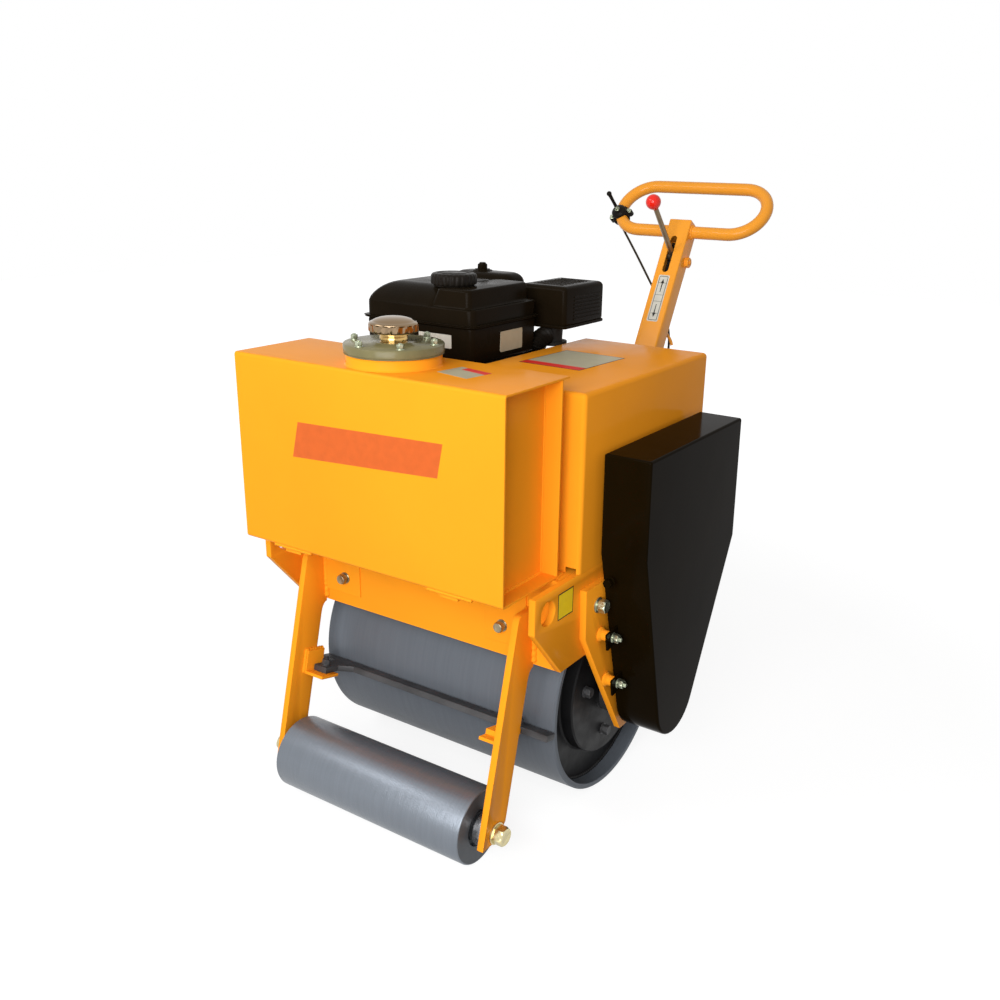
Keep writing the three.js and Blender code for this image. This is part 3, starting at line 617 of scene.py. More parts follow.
# Where each stands across and along the bar, its size over flats and how far its end stands out.
SCRAPER_BOLTS = ((-0.231, -0.064, BOLT_M10, 8 * MM), (0.233, -0.004, BOLT_M8, 6 * MM))
FRONT_BOLT = {"x": 0.2005, "z": 0.446}
STICKER = {"near": 0.290, "far": 0.237, "low": 0.496, "high": 0.548, "border": 2.2 * MM}
LUGS = ((-0.150, 0.420), (-0.120, 0.309))
LUG_FACE = 0.375
LUG_SHAPE = ((-0.026, 0.014), (-0.020, -0.022), (0.046, -0.010), (0.046, 0.022))
GUARD_BOLT = (0.376, -0.176, 0.545)
YOKE_BOLT = {"along": 0.165, "up": 0.487}
BEARER_X, BRACKET_WELD_X, CORNER_WELD_X = 0.190, 0.2575, 0.3175
BEARER_WELDS = ((-0.047, 0.030, 5), (-0.026, 0.052, 6))
REAR_WELD_LOW = 0.475


def frame_plates():
    for name, _ in SIDES:
        dress(f"side_plate_{name}", YELLOW, 2.2 * MM)
        dress(f"yoke_plate_{name}", YELLOW, 2.5 * MM)
        dress(f"bearing_housing_{name}", DARK_STEEL, 1.5 * MM)
        dress(f"scraper_bracket_{name}", YELLOW, 1.2 * MM)
        dress(f"support_arm_{name}", YELLOW, 2.0 * MM)
    for name in ("cross_plate_front", "cross_plate_rear", "deck_plate"):
        dress(name, YELLOW, 1.2 * MM)
    dress("drum_drive_motor", DARK_STEEL, 2.5 * MM)
    dress("handle_bracket", YELLOW, 1.5 * MM)
    dress("scraper_bar", DARK_STEEL, 0.8 * MM, 2)


def front_pads():
    """The thick pads on the front cross plate, and the bolts through them."""
    low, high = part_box("cross_plate_front")
    arm_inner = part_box("support_arm_right")[0].x - MIDDLE
    face = AXLE.y - FRONT_FACE
    bottom = low.z + PAD["bottom"]
    pads, bolts = bmesh.new(), bmesh.new()
    for _, side in SIDES:
        outer = MIDDLE + side * (arm_inner - 4 * MM)
        inner = MIDDLE + side * (arm_inner - PAD["width"])
        chamfer = PAD["chamfer"]
        shape = [(inner, bottom), (outer, bottom), (outer, high.z - 1 * MM), (inner, high.z - 1 * MM)]
        if side > 0:
            shape[1:2] = [(outer - chamfer, bottom), (outer, bottom + chamfer)]
        prism(pads, shape, "y", face - PAD["thick"], face)
        seat = (MIDDLE + side * FRONT_BOLT["x"], face - PAD["thick"], FRONT_BOLT["z"])
        bolt(bolts, seat, -Y, BOLT_M12)
    piece("front_plate_pads", pads, "machine", YELLOW, bevel=0.8 * MM)
    piece("front_plate_bolts", bolts, "machine", AGED_ZINC)


def frame_welds():
    """Beads where the arms, bearers, brackets and plates are welded."""
    bm = bmesh.new()
    plate_low, plate_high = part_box("cross_plate_front")
    face = AXLE.y - FRONT_FACE
    for name, side in SIDES:
        low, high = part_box(f"support_arm_{name}")
        for x, seed in ((low.x, 3), (high.x, 4)):
            weld(bm, [(x, face, plate_low.z + 6 * MM), (x, face, high.z)], 7 * MM, seed=seed)
        bearer = MIDDLE + side * BEARER_X
        tank_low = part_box("water_tank")[0]
        edge, under = tank_low.y + 5 * MM, tank_low.z - 1.5 * MM
        for start, stop, seed in BEARER_WELDS:
            line = [(bearer + start, edge, under), (bearer + stop, edge, under)]
            weld(bm, line, 3.6 * MM, seed=seed + side)
        weld(bm, [scraper_point(side * BRACKET_WELD_X, *at) for at in BRACKET_SEAM], 4.2 * MM, seed=8)
        corner = MIDDLE + side * CORNER_WELD_X
        weld(bm, [(corner, face, plate_low.z + 4 * MM), (corner, face, plate_high.z)], 4 * MM, seed=9)
        back = AXLE.y + REAR_FACE
        weld(bm, [(corner, back, REAR_WELD_LOW), (corner, back, plate_high.z)], 4 * MM, seed=10)
    piece("frame_welds", bm, "machine", YELLOW, sharp=70)


def yoke_hardware():
    """The bolts that hold the yoke plates, and those through the belt guard's lugs."""
    bolts = bmesh.new()
    for _, side in SIDES:
        face = MIDDLE + side * YOKE_FACE
        for along in (-YOKE_BOLT["along"], YOKE_BOLT["along"]):
            bolt(bolts, (face, AXLE.y + along, YOKE_BOLT["up"]), X * side, BOLT_M16)
    for along, up in LUGS:
        seat = (MIDDLE + LUG_FACE, AXLE.y + along, up)
        bolt(bolts, seat, X, BOLT_M10, end=7 * MM)
    piece("yoke_bolts", bolts, "machine", ZINC_GREEN)
    collars = bmesh.new()
    for along, up in LUGS:
        root = (MIDDLE + YOKE_FACE, AXLE.y + along, up)
        turned(collars, root, X, mm((15, 0), (15, 3), (11, 7), (10.4, 20)), 32)
    piece("standoff_collars", collars, "machine", YELLOW)


def drive_side():
    """Flange bolts and ports of the drum's drive motor."""
    bolts = bmesh.new()
    low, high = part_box("drum_drive_motor")
    flange = Vector((high.x - 11.7 * MM, AXLE.y, AXLE.z))
    for seat in around(flange, 0.056, 4, math.pi / 4):
        bolt(bolts, seat, -X, BOLT_M8, washer=0)
    end = Vector((low.x, AXLE.y, AXLE.z))
    for seat in around(end, 0.034, 6):
        turned(bolts, seat, X, mm((5, -1), (5, 5)), 16)
    piece("motor_bolts", bolts, "machine", ZINC)
    ports = bmesh.new()
    for lean in (-1, 1):
        base = end + Vector((16, lean * 20, 40)) * MM
        turned(ports, base, Z, mm((12, 0), (12, 9), (9, 10), (9, 18)), 24)
        hex_head(ports, base + Z * 17 * MM, Z, 20 * MM, 9 * MM)
    piece("motor_ports", ports, "machine", DARK_STEEL)


def side_sticker():
    """A blank yellow sticker with a black border on the right side plate."""
    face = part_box("side_plate_right")[1].x
    y0, y1 = AXLE.y - STICKER["near"], AXLE.y - STICKER["far"]
    z0, z1 = STICKER["low"], STICKER["high"]
    edge = STICKER["border"]
    bm = bmesh.new()
    prism(bm, rectangle(y0, y1, z0, z1), "x", face, face + 0.25 * MM, 1)
    prism(bm, rectangle(y0 + edge, y1 - edge, z0 + edge, z1 - edge), "x", face, face + 0.4 * MM, 0)
    piece("side_sticker", bm, "machine", [LABEL_YELLOW, LABEL_BLACK])


# ---------------------------------------------------------------- drum and rollers
DRUM = {"shell": 12 * MM, "plate": 14 * MM, "gap": 12.3 * MM, "face": 0.264, "edge": 3 * MM}
HUB = {"face": 0.294, "radius": 0.157, "rim": 0.062, "seat": 0.058, "stub": 0.028}
HUB_BOLTS = {"radius": 0.108, "count": 4, "start": math.radians(168.5)}
ROLLER = {"rim": 0.039, "bore": 0.0156, "recess": 0.010, "edge": 3 * MM, "skin": 0.05 * MM}
AXLE_HEX = 34 * MM


def drum():
    low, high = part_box("drum_shell")
    radius, half = AXLE.z, (high.x - low.x) / 2
    inner = radius - DRUM["shell"]
    bm = bmesh.new()
    profile = from_corner(inner, -half, (0, 1), (1, 0)) + from_corner(radius, -half, (-3, 0), (0, 3))
    profile += from_corner(radius, half, (0, -3), (-3, 0)) + from_corner(inner, half, (1, 0), (0, -1))
    turned(bm, AXLE, X, profile, 160, loop=True)
    piece("drum_rim", bm, "drum", DRUM_STEEL, replaces=["drum_shell"], sharp=30)


def drum_ends():
    plate_r, hub_r, stub_r = AXLE.z - DRUM["gap"], HUB["radius"], HUB["stub"]
    for name, side in SIDES:
        bm = bmesh.new()
        low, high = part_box(f"drum_end_{name}")
        tip = (high.x if side > 0 else low.x) - MIDDLE
        face, hub, edge = DRUM["face"] * side, HUB["face"] * side, DRUM["edge"] * side
        profile = [
            (plate_r, face - DRUM["plate"] * side), (plate_r, face), (hub_r + 4 * MM, face),
            (hub_r, face + edge), (hub_r, hub - edge), (hub_r - 3 * MM, hub), (HUB["rim"], hub),
            (HUB["seat"], hub - edge), (stub_r + 6 * MM, hub - edge), (stub_r, hub + edge), (stub_r, tip),
        ]
        turned(bm, AXLE, X, profile, 128)
        piece(f"drum_disc_{name}", bm, "drum", HUB_BLACK,
              replaces=[f"drum_end_{name}"], sharp=30)
        bolts = bmesh.new()
        for seat in around(AXLE + X * hub, HUB_BOLTS["radius"], HUB_BOLTS["count"], HUB_BOLTS["start"]):
            bolt(bolts, seat, X * side, BOLT_M12)
        piece(f"hub_bolts_{name}", bolts, "drum", DARK_STEEL)
        bead = bmesh.new()
        ring = circle(AXLE + X * face, X, plate_r - 1 * MM, 90)
        weld(bead, ring + ring[:1], 4.5 * MM, seed=21)
        piece(f"drum_weld_{name}", bead, "drum", HUB_BLACK, sharp=70)
    dress("drum_exciter", DARK_STEEL)


def support_roller():
    low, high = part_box("support_roller")
    half, radius = (high.x - low.x) / 2, ROLLER_AXLE.z
    rim, bore, edge = ROLLER["rim"], ROLLER["bore"], ROLLER["edge"]
    round_off = 0.3 * edge
    bm = bmesh.new()
    turned(bm, ROLLER_AXLE, X, [
        (radius - edge, -half), (radius - round_off, -half + round_off), (radius, -half + edge),
        (radius, half - edge), (radius - round_off, half - round_off), (radius - edge, half),
        (rim, half), (rim, -half),
    ], 128, loop=True)
    piece("roller_shell", bm, "front_roller", ROLLER_STEEL,
          replaces=["support_roller"], sharp=25)
    ends = bmesh.new()
    for _, side in SIDES:
        face = half * side
        floor, deep, lip = (face - depth * side for depth in (ROLLER["recess"], 2 * ROLLER["recess"], 4 * MM))
        turned(ends, ROLLER_AXLE, X, [
            (rim - 0.5 * MM, deep), (rim - 0.5 * MM, floor), (bore + 15 * MM, floor),
            (bore + 14 * MM, lip), (bore, lip), (bore, deep),
        ], 96, loop=True)
        top, under = face + ROLLER["skin"] * side, face - 0.3 * MM * side
        turned(ends, ROLLER_AXLE, X,
               [(rim, top), (radius - edge, top), (radius - edge, under), (rim, under)], 128, loop=True)
    piece("roller_ends", ends, "front_roller", ROLLER_END)


def roller_axle():
    """The axle bolts with their washers, and the collars between roller and arm."""
    arm_low, arm_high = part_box("support_arm_right")
    arm_inner, arm_outer = arm_low.x - MIDDLE, arm_high.x - MIDDLE
    bm, collars = bmesh.new(), bmesh.new()
    turned(collars, ROLLER_AXLE - X * arm_outer, X, [(15 * MM, 0), (15 * MM, 2 * arm_outer)], 32)
    for _, side in SIDES:
        seat = ROLLER_AXLE + X * side * (arm_outer + 0.2 * MM)
        bolt(bm, seat, X * side, AXLE_HEX, spring=False)
        start = arm_inner - 18 * MM
        profile = from_corner(0, start, (33, 0), (34, 1)) + from_corner(0, arm_inner, (34, -1.5), (33, -0.4))
        profile += [(15.2 * MM, arm_inner - 0.4 * MM), (15.2 * MM, start)]
        turned(collars, ROLLER_AXLE, X * side, profile, 64, loop=True)
    piece("axle_bolts", bm, "machine", ZINC, replaces=["roller_axle"])
    piece("axle_collars", collars, "machine", BARE_STEEL)


def scraper_point(x, back, up):
    """A point given square to the leaning arms, from the scraper's own axis."""
    along = Vector((0, math.cos(ARM_LEAN), -math.sin(ARM_LEAN)))
    lift = Vector((0, math.sin(ARM_LEAN), math.cos(ARM_LEAN)))
    axis = Vector((MIDDLE + x, AXLE.y + SCRAPER_AXIS["back"], SCRAPER_AXIS["up"]))
    return axis + along * back + lift * up


def scraper_hardware():
    bm = bmesh.new()
    up = scraper_point(0, 0, 1) - scraper_point(0, 0, 0)
    for x, back, across, end in SCRAPER_BOLTS:
        bolt(bm, scraper_point(x, back, SCRAPER_THICK), up, across, end=end)
    piece("scraper_bolts", bm, "machine", DARK_STEEL)


# ---------------------------------------------------------------- water tank
TANK_SHEET, TANK_FOLD, TANK_RECESS, TANK_OVERHANG = 4 * MM, 6 * MM, 0.035, 0.020


def tank_body():
    low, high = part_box("water_tank")
    t, fold = TANK_SHEET, TANK_FOLD
    wall = high.y - TANK_OVERHANG
    bm = bmesh.new()
    wrap = fillet([
        (high.y, low.z), (low.y, low.z), (low.y, high.z), (high.y, high.z),
        (high.y, high.z - t), (low.y + t, high.z - t), (low.y + t, low.z + t), (high.y, low.z + t),
    ], [0, fold, fold, 0, 0, fold - t, fold - t, 0], 6)
    prism(bm, wrap, "x", low.x, high.x)
    box(bm, (low.x, wall - t, low.z + t), (high.x, wall, high.z - t))
    for _, side in SIDES:
        outer = MIDDLE + side * ((high.x - low.x) / 2 - TANK_RECESS)
        inner = outer - side * 3 * MM
        ends = sorted((outer, inner))
        box(bm, (ends[0], low.y + t, low.z + t), (ends[1], wall - t, high.z - t))
    piece("tank_sheets", bm, "machine", YELLOW,
          replaces=["water_tank"], bevel=0.7 * MM, segments=2)
    beads = bmesh.new()
    for _, side in SIDES:
        x = MIDDLE + side * ((high.x - low.x) / 2 - TANK_RECESS)
        front, back, floor, roof = low.y + t, wall - t, low.z + t, high.z - t
        weld(beads, [(x, front + 8 * MM, floor), (x, back, floor)], 4 * MM, seed=31)
        weld(beads, [(x, back, floor), (x, back, roof)], 2.2 * MM, seed=32)
        weld(beads, [(x, front, floor), (x, front, roof)], 2.2 * MM, seed=33)
        weld(beads, [(x, front, roof), (x, back, roof)], 2.2 * MM, seed=34)
    piece("tank_welds", beads, "machine", YELLOW, sharp=70)


FRONT_LABEL = ((-0.169, 0.753), (0.172, 0.773), (0.184, 0.835), (-0.152, 0.822))
# A top label's corner, and its edges along and across, from the middle of the drum's axle.
TANK_LABEL = ((0.108, -0.350), (0.076, -0.0165), (0.008, 0.0625))
HOOD_LABEL = ((0.077, -0.045), (0.142, -0.003), (0.008, 0.172))


def top_label(bm, corner_and_edges, z, patches):
    """Flat fields on a level label: each is a share along it and across it, a lift and a colour."""
    corner, along, across = (Vector(place) for place in corner_and_edges)
    for a0, a1, b0, b1, lift, mat in patches:
        points = [corner + along * a + across * b for a, b in rectangle(a0, a1, b0, b1)]
        prism(bm, [(MIDDLE + p.x, AXLE.y + p.y) for p in points], "z", z, z + lift * MM, mat)


def tank_labels():
    low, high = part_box("water_tank")
    front = bmesh.new()
    prism(front, [(MIDDLE + x, z) for x, z in FRONT_LABEL], "y", low.y - 0.3 * MM, low.y)
    piece("front_label", front, "machine", LABEL_ORANGE)
    top = bmesh.new()
    top_label(top, TANK_LABEL, high.z, ((0, 1, 0, 1, 0.3, 0), (0.22, 1, 0.72, 1, 0.42, 1)))
    piece("tank_top_label", top, "machine", [LABEL_SILVER, LABEL_RED])


FILLER_BOLTS = {"radius": 0.077, "count": 6, "start": 18, "across": 11.5 * MM}
FILLER_COLLAR = {"outer": 0.040, "step": 0.038, "inner": 0.0262}


def filler():
    collar_low, collar_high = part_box("filler_collar")
    flange_low, flange_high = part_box("filler_flange")
    neck_low, neck_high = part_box("filler_neck")
    cap_low, cap_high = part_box("filler_cap")
    centre = (collar_low + collar_high) / 2
    base = Vector((centre.x, centre.y, 0))
    bm = bmesh.new()
    r, z0, z1 = (collar_high.x - collar_low.x) / 2, collar_low.z - 0.2 * MM, collar_high.z
    profile = from_corner(r, z0, (3, 0), (1, 1.5), (0, 3.5)) + from_corner(r, z1, (0, -1), (-1, 0))
    turned(bm, base, Z, profile, 96)
    piece("filler_ring", bm, "machine", YELLOW, replaces=["filler_collar"], sharp=60)
    r, z0, z1 = (flange_high.x - flange_low.x) / 2, flange_low.z, flange_high.z
    bm = bmesh.new()
    profile = from_corner(r, z0, (-1.5, 0), (-0.5, 0.6), (-0.5, 2.2), (-1.4, 2.6), (-1.4, 3.2), (0, 3.8))
    profile += from_corner(r, z1, (0, -1.2), (-1.2, 0))
    step = z1 + 1.6 * MM
    profile += [(FILLER_COLLAR["outer"], z1), (FILLER_COLLAR["step"], step), (FILLER_COLLAR["inner"], step)]
    turned(bm, base, Z, profile, 96)
    piece("filler_disc", bm, "machine", RESIN, replaces=["filler_flange"], sharp=50)
    bm = bmesh.new()
    for i in range(FILLER_BOLTS["count"]):
        angle = math.radians(FILLER_BOLTS["start"] + 360 / FILLER_BOLTS["count"] * i)
        away = Vector((math.cos(angle), math.sin(angle), 0)) * FILLER_BOLTS["radius"]
        bolt(bm, base + away + Z * z1, Z, FILLER_BOLTS["across"], end=2.5 * MM)
    piece("filler_bolts", bm, "machine", ZINC_GREEN)
    r, z0, z1 = (neck_high.x - neck_low.x) / 2, neck_low.z, neck_high.z
    bm = bmesh.new()
    profile = from_corner(r, z0, (0, 0), (0, 2), (-1.5, 3), (-1.5, 5), (0, 6), (0, 11), (-1, 12), (-1, 14))
    profile += [(r + 6 * MM, z0 + 16 * MM), (r + 6 * MM, z1)]
    turned(bm, base, Z, profile, 64)
    piece("filler_neck_ring", bm, "machine", BRASS, replaces=["filler_neck"], sharp=50)
    filler_cap(base, (cap_high.x - cap_low.x) / 2, cap_low.z, cap_high.z)


def filler_cap(base, radius, low, high):
    """A pressed dome with a scalloped skirt."""
    flutes, depth = 18, 2.2 * MM

    def skirt(reach, share):
        return lambda angle: reach - depth * share * abs(math.sin(angle * flutes / 2)) ** 1.5
    skirt_rows = ((-3, 0.0, 0), (-1, 0.03, 0.6), (0, 0.10, 1), (0, 0.45, 1), (0, 0.50, 0.8),
                  (-0.2, 0.54, 0.15), (-0.6, 0.57, 0))
    dome_rows = ((0.955, 0.63), (0.90, 0.67), (0.86, 0.68), (0.82, 0.74), (0.70, 0.84), (0.52, 0.93),
                 (0.32, 0.98), (0.12, 1.0))
    rows = [(radius + out * MM, up, share) for out, up, share in skirt_rows]
    rows += [(radius * share, up, 0) for share, up in dome_rows]
    bm = bmesh.new()
    loft(bm, [circle(base + Z * (low + (high - low) * up), Z, skirt(reach, share), 144)
              for reach, up, share in rows])
    piece("filler_dome", bm, "machine", CHROME, replaces=["filler_cap"], sharp=50)


# ---------------------------------------------------------------- hood and guard
def hood():
    low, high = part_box("hood")
    fold, sheet = 9 * MM, 3 * MM
    bm = bmesh.new()
    corners = fillet(rectangle(low.x, high.x, low.y, high.y), fold, 6)
    rings = [[(u, v, low.z) for u, v in corners]]
    for k in range(7):
        angle = math.pi / 2 * k / 6
        inset = fold * (1 - math.cos(angle))
        up = high.z - fold * (1 - math.sin(angle))
        ring = fillet(rectangle(low.x + inset, high.x - inset, low.y + inset, high.y - inset),
                      max(fold - inset, 0.3 * MM), 6)
        rings.append([(u, v, up) for u, v in ring])
    loft(bm, rings)
    bottom = min(bm.faces, key=lambda face: face.calc_center_median().z)
    bmesh.ops.delete(bm, geom=[bottom], context="FACES_ONLY")
    obj = piece("hood_sheet", bm, "machine", YELLOW, replaces=["hood"], sharp=40)
    skin = obj.modifiers.new("sheet", "SOLIDIFY")
    skin.thickness = sheet
    skin.offset = -1
    apply_modifiers(obj)
    notch = bmesh.new()
    box(notch, (high.x - 30 * MM, low.y - 10 * MM, low.z - 5 * MM),
        (high.x - 7 * MM, low.y + 20 * MM, low.z + 11 * MM))
    cut_away(obj, notch)
    smooth(obj.data)
    obj.data.set_sharp_from_angle(angle=math.radians(40))


def hood_label():
    bm = bmesh.new()
    top_label(bm, HOOD_LABEL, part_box("hood")[1].z, (
        (0, 1, 0, 1, 0.25, 2), (0.015, 0.985, 0.012, 0.988, 0.35, 0), (0.015, 0.985, 0.012, 0.16, 0.45, 1)))
    piece("hood_label", bm, "machine", [LABEL_SILVER, LABEL_RED, LABEL_BLACK])


def belt_guard():
    low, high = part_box("belt_guard")
    bm = bmesh.new()
    prism(bm, outline_of("belt_guard", "x", 1), "x", low.x, high.x)
    piece("guard_cover", bm, "machine", GUARD,
          replaces=["belt_guard"], bevel=5 * MM, segments=5)
    lugs = bmesh.new()
    for along, up in LUGS:
        shape = fillet([(AXLE.y + along + v, up + w) for v, w in LUG_SHAPE], 3 * MM, 3)
        prism(lugs, shape, "x", MIDDLE + LUG_FACE - 4 * MM, MIDDLE + LUG_FACE)
    piece("guard_lugs", lugs, "machine", GUARD, bevel=0.8 * MM, segments=2)
    bolts = bmesh.new()
    bolt(bolts, Vector((MIDDLE, AXLE.y, 0)) + Vector(GUARD_BOLT), -Y, BOLT_M10)
    piece("guard_bolts", bolts, "machine", GUARD)


# ---------------------------------------------------------------- engine
def rounded_block(bm, low, high, corner, edge, rows=5, drafts=(0.0, 0.0)):
    """A block with round corners in plan and rounded top and bottom edges, narrower by its drafts."""
    rings = []
    turns = [math.pi / 2 * k / rows for k in range(rows + 1)]
    profile = [(edge * (1 - math.cos(turn)), edge * (1 - math.sin(turn))) for turn in turns]
    height = high[2] - low[2]
    levels = profile + [(height - up, inset) for up, inset in reversed(profile)]
    for up, inset in levels:
        inset += drafts[0] * (1 - up / height) + drafts[1] * (up / height)
        shape = fillet(rectangle(low[0] + inset, high[0] - inset, low[1] + inset, high[1] - inset),
                       max(corner - inset * 0.5, 1 * MM), 6)
        rings.append([(u, v, low[2] + up) for u, v in shape])
    loft(bm, rings)


FUEL_LIP, FUEL_SEAM = 8 * MM, 78 * MM
# Level rings of the upper shell: height, left, right, front and back.
FUEL_FOOT = (972, -268, 8, -110, 128)
FUEL_SKIRT = ((1001.5, -268, 8, -110, 128), (1004.5, -265, 5, -107, 125))
FUEL_LEFT = ((1003, -267, -88, -110, 127), (1041.5, -222, -90, -46, 88))
FUEL_RIGHT_COVE = ((1003, -108, 5, -109, 124), (1010, -100, -4, -104, 111))
FUEL_RIGHT_EDGE = ((1036, -86, -4, -104, 110), (1042, -80, -9, -98, 104))
FUEL_FRONT_FALL = 0.65


def plan_ring(x0, x1, y0, y1, z, corner):
    """A level ring with round corners, in millimetres from the middle of the drum axle."""
    plan = rectangle(MIDDLE + x0 * MM, MIDDLE + x1 * MM, AXLE.y + y0 * MM, AXLE.y + y1 * MM)
    shape = fillet(plan, corner * MM, 6)
    return [(u, v, z * MM) for u, v in shape]


def quarter_rings(foot, head, corner, steps, cove=False, front_fall=1.0):
    """Level rings from foot to head on a quarter turn, hollow where it is a cove."""
    rings = []
    for step in range(steps + 1):
        turn = math.pi / 2 * step / steps
        rise, inset = math.sin(turn), 1 - math.cos(turn)
        if cove:
            rise, inset = inset, rise
        z, x0, x1, y0, y1 = (a + (b - a) * share for a, b, share in
                             zip(foot, head, (rise, inset, inset, inset ** front_fall, inset)))
        rings.append(plan_ring(x0, x1, y0, y1, z, corner))
    return rings


def fuel_tank():
    """Two pressed shells: the upper one stands taller on its right, under the filler."""
    low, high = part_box("fuel_tank")
    seam = low.z + FUEL_SEAM
    bm = bmesh.new()
    z, x0, x1, y0, y1 = FUEL_FOOT
    loft(bm, [plan_ring(x0, x1, y0, y1, z, 18)] + quarter_rings(*FUEL_SKIRT, 18, 3))
    loft(bm, quarter_rings(*FUEL_LEFT, 16, 8, front_fall=FUEL_FRONT_FALL))
    loft(bm, quarter_rings(*FUEL_RIGHT_COVE, 12, 3, cove=True) + quarter_rings(*FUEL_RIGHT_EDGE, 12, 3))
    rounded_block(bm, (low.x + FUEL_LIP, low.y + FUEL_LIP, low.z),
                  (high.x - FUEL_LIP, high.y - FUEL_LIP, seam), 14 * MM, 9 * MM, drafts=(2 * MM, 0))
    piece("fuel_shells", bm, "machine", ENGINE_BLACK, replaces=["fuel_tank"], sharp=50)
    bm = bmesh.new()
    for z in (seam - 2.4 * MM, seam + 0.2 * MM):
        rounded_block(bm, (low.x, low.y, z), (high.x, high.y, z + 2.2 * MM), 24 * MM, 1.0 * MM, rows=2)
    ear = fillet(rectangle(low.x - 8 * MM, low.x + 12 * MM, low.y + 18 * MM, low.y + 58 * MM), 6 * MM, 4)
    prism(bm, ear, "z", seam - 2.2 * MM, seam + 0.2 * MM)
    piece("fuel_seam", bm, "machine", ENGINE_BLACK, sharp=40)
    engine_labels(low, high, seam)


def engine_labels(low, high, seam):
    """Blank rating labels on the front and right of the lower shell."""
    bm = bmesh.new()
    skin = 0.4 * MM
    face = low.y + FUEL_LIP - skin
    prism(bm, fillet(rectangle(MIDDLE - 0.126, MIDDLE - 0.043, seam - 47 * MM, seam - 20 * MM), 2 * MM, 3),
          "y", face + 0.2 * MM, face + 3 * MM)
    side = high.x - FUEL_LIP + skin
    prism(bm, fillet(rectangle(AXLE.y - 0.010, AXLE.y + 0.070, seam - 62 * MM, seam - 20 * MM), 3 * MM, 3),
          "x", side - 3 * MM, side - 0.1 * MM, 1)
    piece("engine_labels", bm, "machine", [LABEL_WHITE, LABEL_TAN])


def fuel_cap():
    low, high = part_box("fuel_cap")
    centre = (low + high) / 2
    base = Vector((centre.x, centre.y, low.z - 2 * MM))
    radius, height = (high.x - low.x) / 2, high.z - low.z + 2 * MM
    ribs = 26

    def ribbed(reach, share):
        return lambda angle: reach - 1.6 * MM * share * (0.5 - 0.5 * math.cos(angle * ribs)) ** 2
    # How far in from the rim, how far up, and how deep the ribs are.
    rows = ((6, 0, 0), (5, 0.12, 0), (1, 0.16, 0.4), (0, 0.24, 1), (0, 0.74, 1), (1, 0.86, 0.8),
            (3.5, 0.96, 0.3), (7, 1.0, 0), (12, 0.99, 0), (14, 0.93, 0), (20, 0.93, 0), (22, 1.0, 0))
    rows = [(radius - inset * MM, up, share) for inset, up, share in rows] + [(radius * 0.1, 1.0, 0)]
    bm = bmesh.new()
    loft(bm, [circle(base + Z * height * up, Z, ribbed(reach, share), 208) for reach, up, share in rows])
    piece("fuel_cap_ribbed", bm, "machine", PLASTIC, replaces=["fuel_cap"], sharp=50)


def air_cleaner():
    low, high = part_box("air_cleaner")
    dome = high.z - 14 * MM
    bm = bmesh.new()
    rounded_block(bm, low, (high.x, high.y, dome), 28 * MM, 22 * MM, rows=6, drafts=(0, 6 * MM))
    centre = Vector((MIDDLE - 0.180, AXLE.y + 0.188, 0))
    turned(bm, centre, Z, from_corner(0, dome, (24, -3), (22, 1.5), (17, 2.5), (17, 4)), 48)
    hex_head(bm, centre + Z * (dome + 3.5 * MM), Z, 21 * MM, 11 * MM)
    turned(bm, centre, Z, from_corner(0, dome, (8, 13), (8, 16), (6, 18)), 32)
    for up in (24, 36):
        z = low.z + up * MM
        rounded_block(bm, (low.x - 1.5 * MM, low.y - 1.5 * MM, z),
                      (high.x + 1.5 * MM, high.y + 1.5 * MM, z + 4 * MM), 29 * MM, 1.5 * MM, rows=3)
    piece("air_cleaner_cover", bm, "machine", ENGINE_BLACK,
          replaces=["air_cleaner"], sharp=45)


def muffler_guard():
    low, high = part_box("muffler_guard")
    bottom = high.z - 89 * MM
    bm = bmesh.new()
    rounded_block(bm, (low.x, low.y, bottom), high, 10 * MM, 11 * MM, rows=6)
    rounded_block(bm, (low.x - 2 * MM, low.y - 2 * MM, bottom - 1 * MM),
                  (high.x + 2 * MM, high.y + 2 * MM, bottom + 6 * MM), 10 * MM, 2.5 * MM, rows=3)
    length = high.y - low.y
    for k in range(7):
        z = bottom + (17 + 8 * k) * MM
        path = [(high.x - 0.5 * MM, low.y + 0.22 * length, z), (high.x - 0.5 * MM, high.y - 0.12 * length, z)]
        tube(bm, resample(path, 20 * MM), 2.4 * MM, 12)
    for k in range(9):
        y = low.y + (0.16 + 0.085 * k) * length
        rib = [(low.x + 22 * MM, y, high.z - 0.2 * MM), (high.x - 22 * MM, y, high.z - 0.2 * MM)]
        tube(bm, resample(rib, 20 * MM), 1.2 * MM, 12)
    piece("muffler_shield", bm, "machine", ENGINE_BLACK,
          replaces=["muffler_guard"], sharp=45)
    elbow = bmesh.new()
    x = (low.x + high.x) / 2
    bends = ((0.050, -40), (0.052, -20), (0.055, 6))
    tube(elbow, spline([(x, low.y + back, bottom + up * MM) for back, up in bends], 6), 21 * MM, 32)
    turned(elbow, (x, low.y + 0.05, bottom - 44 * MM), Z, [(32 * MM, 0), (32 * MM, 8 * MM)], 32)
    piece("exhaust_elbow", elbow, "machine", CASTING, sharp=45)


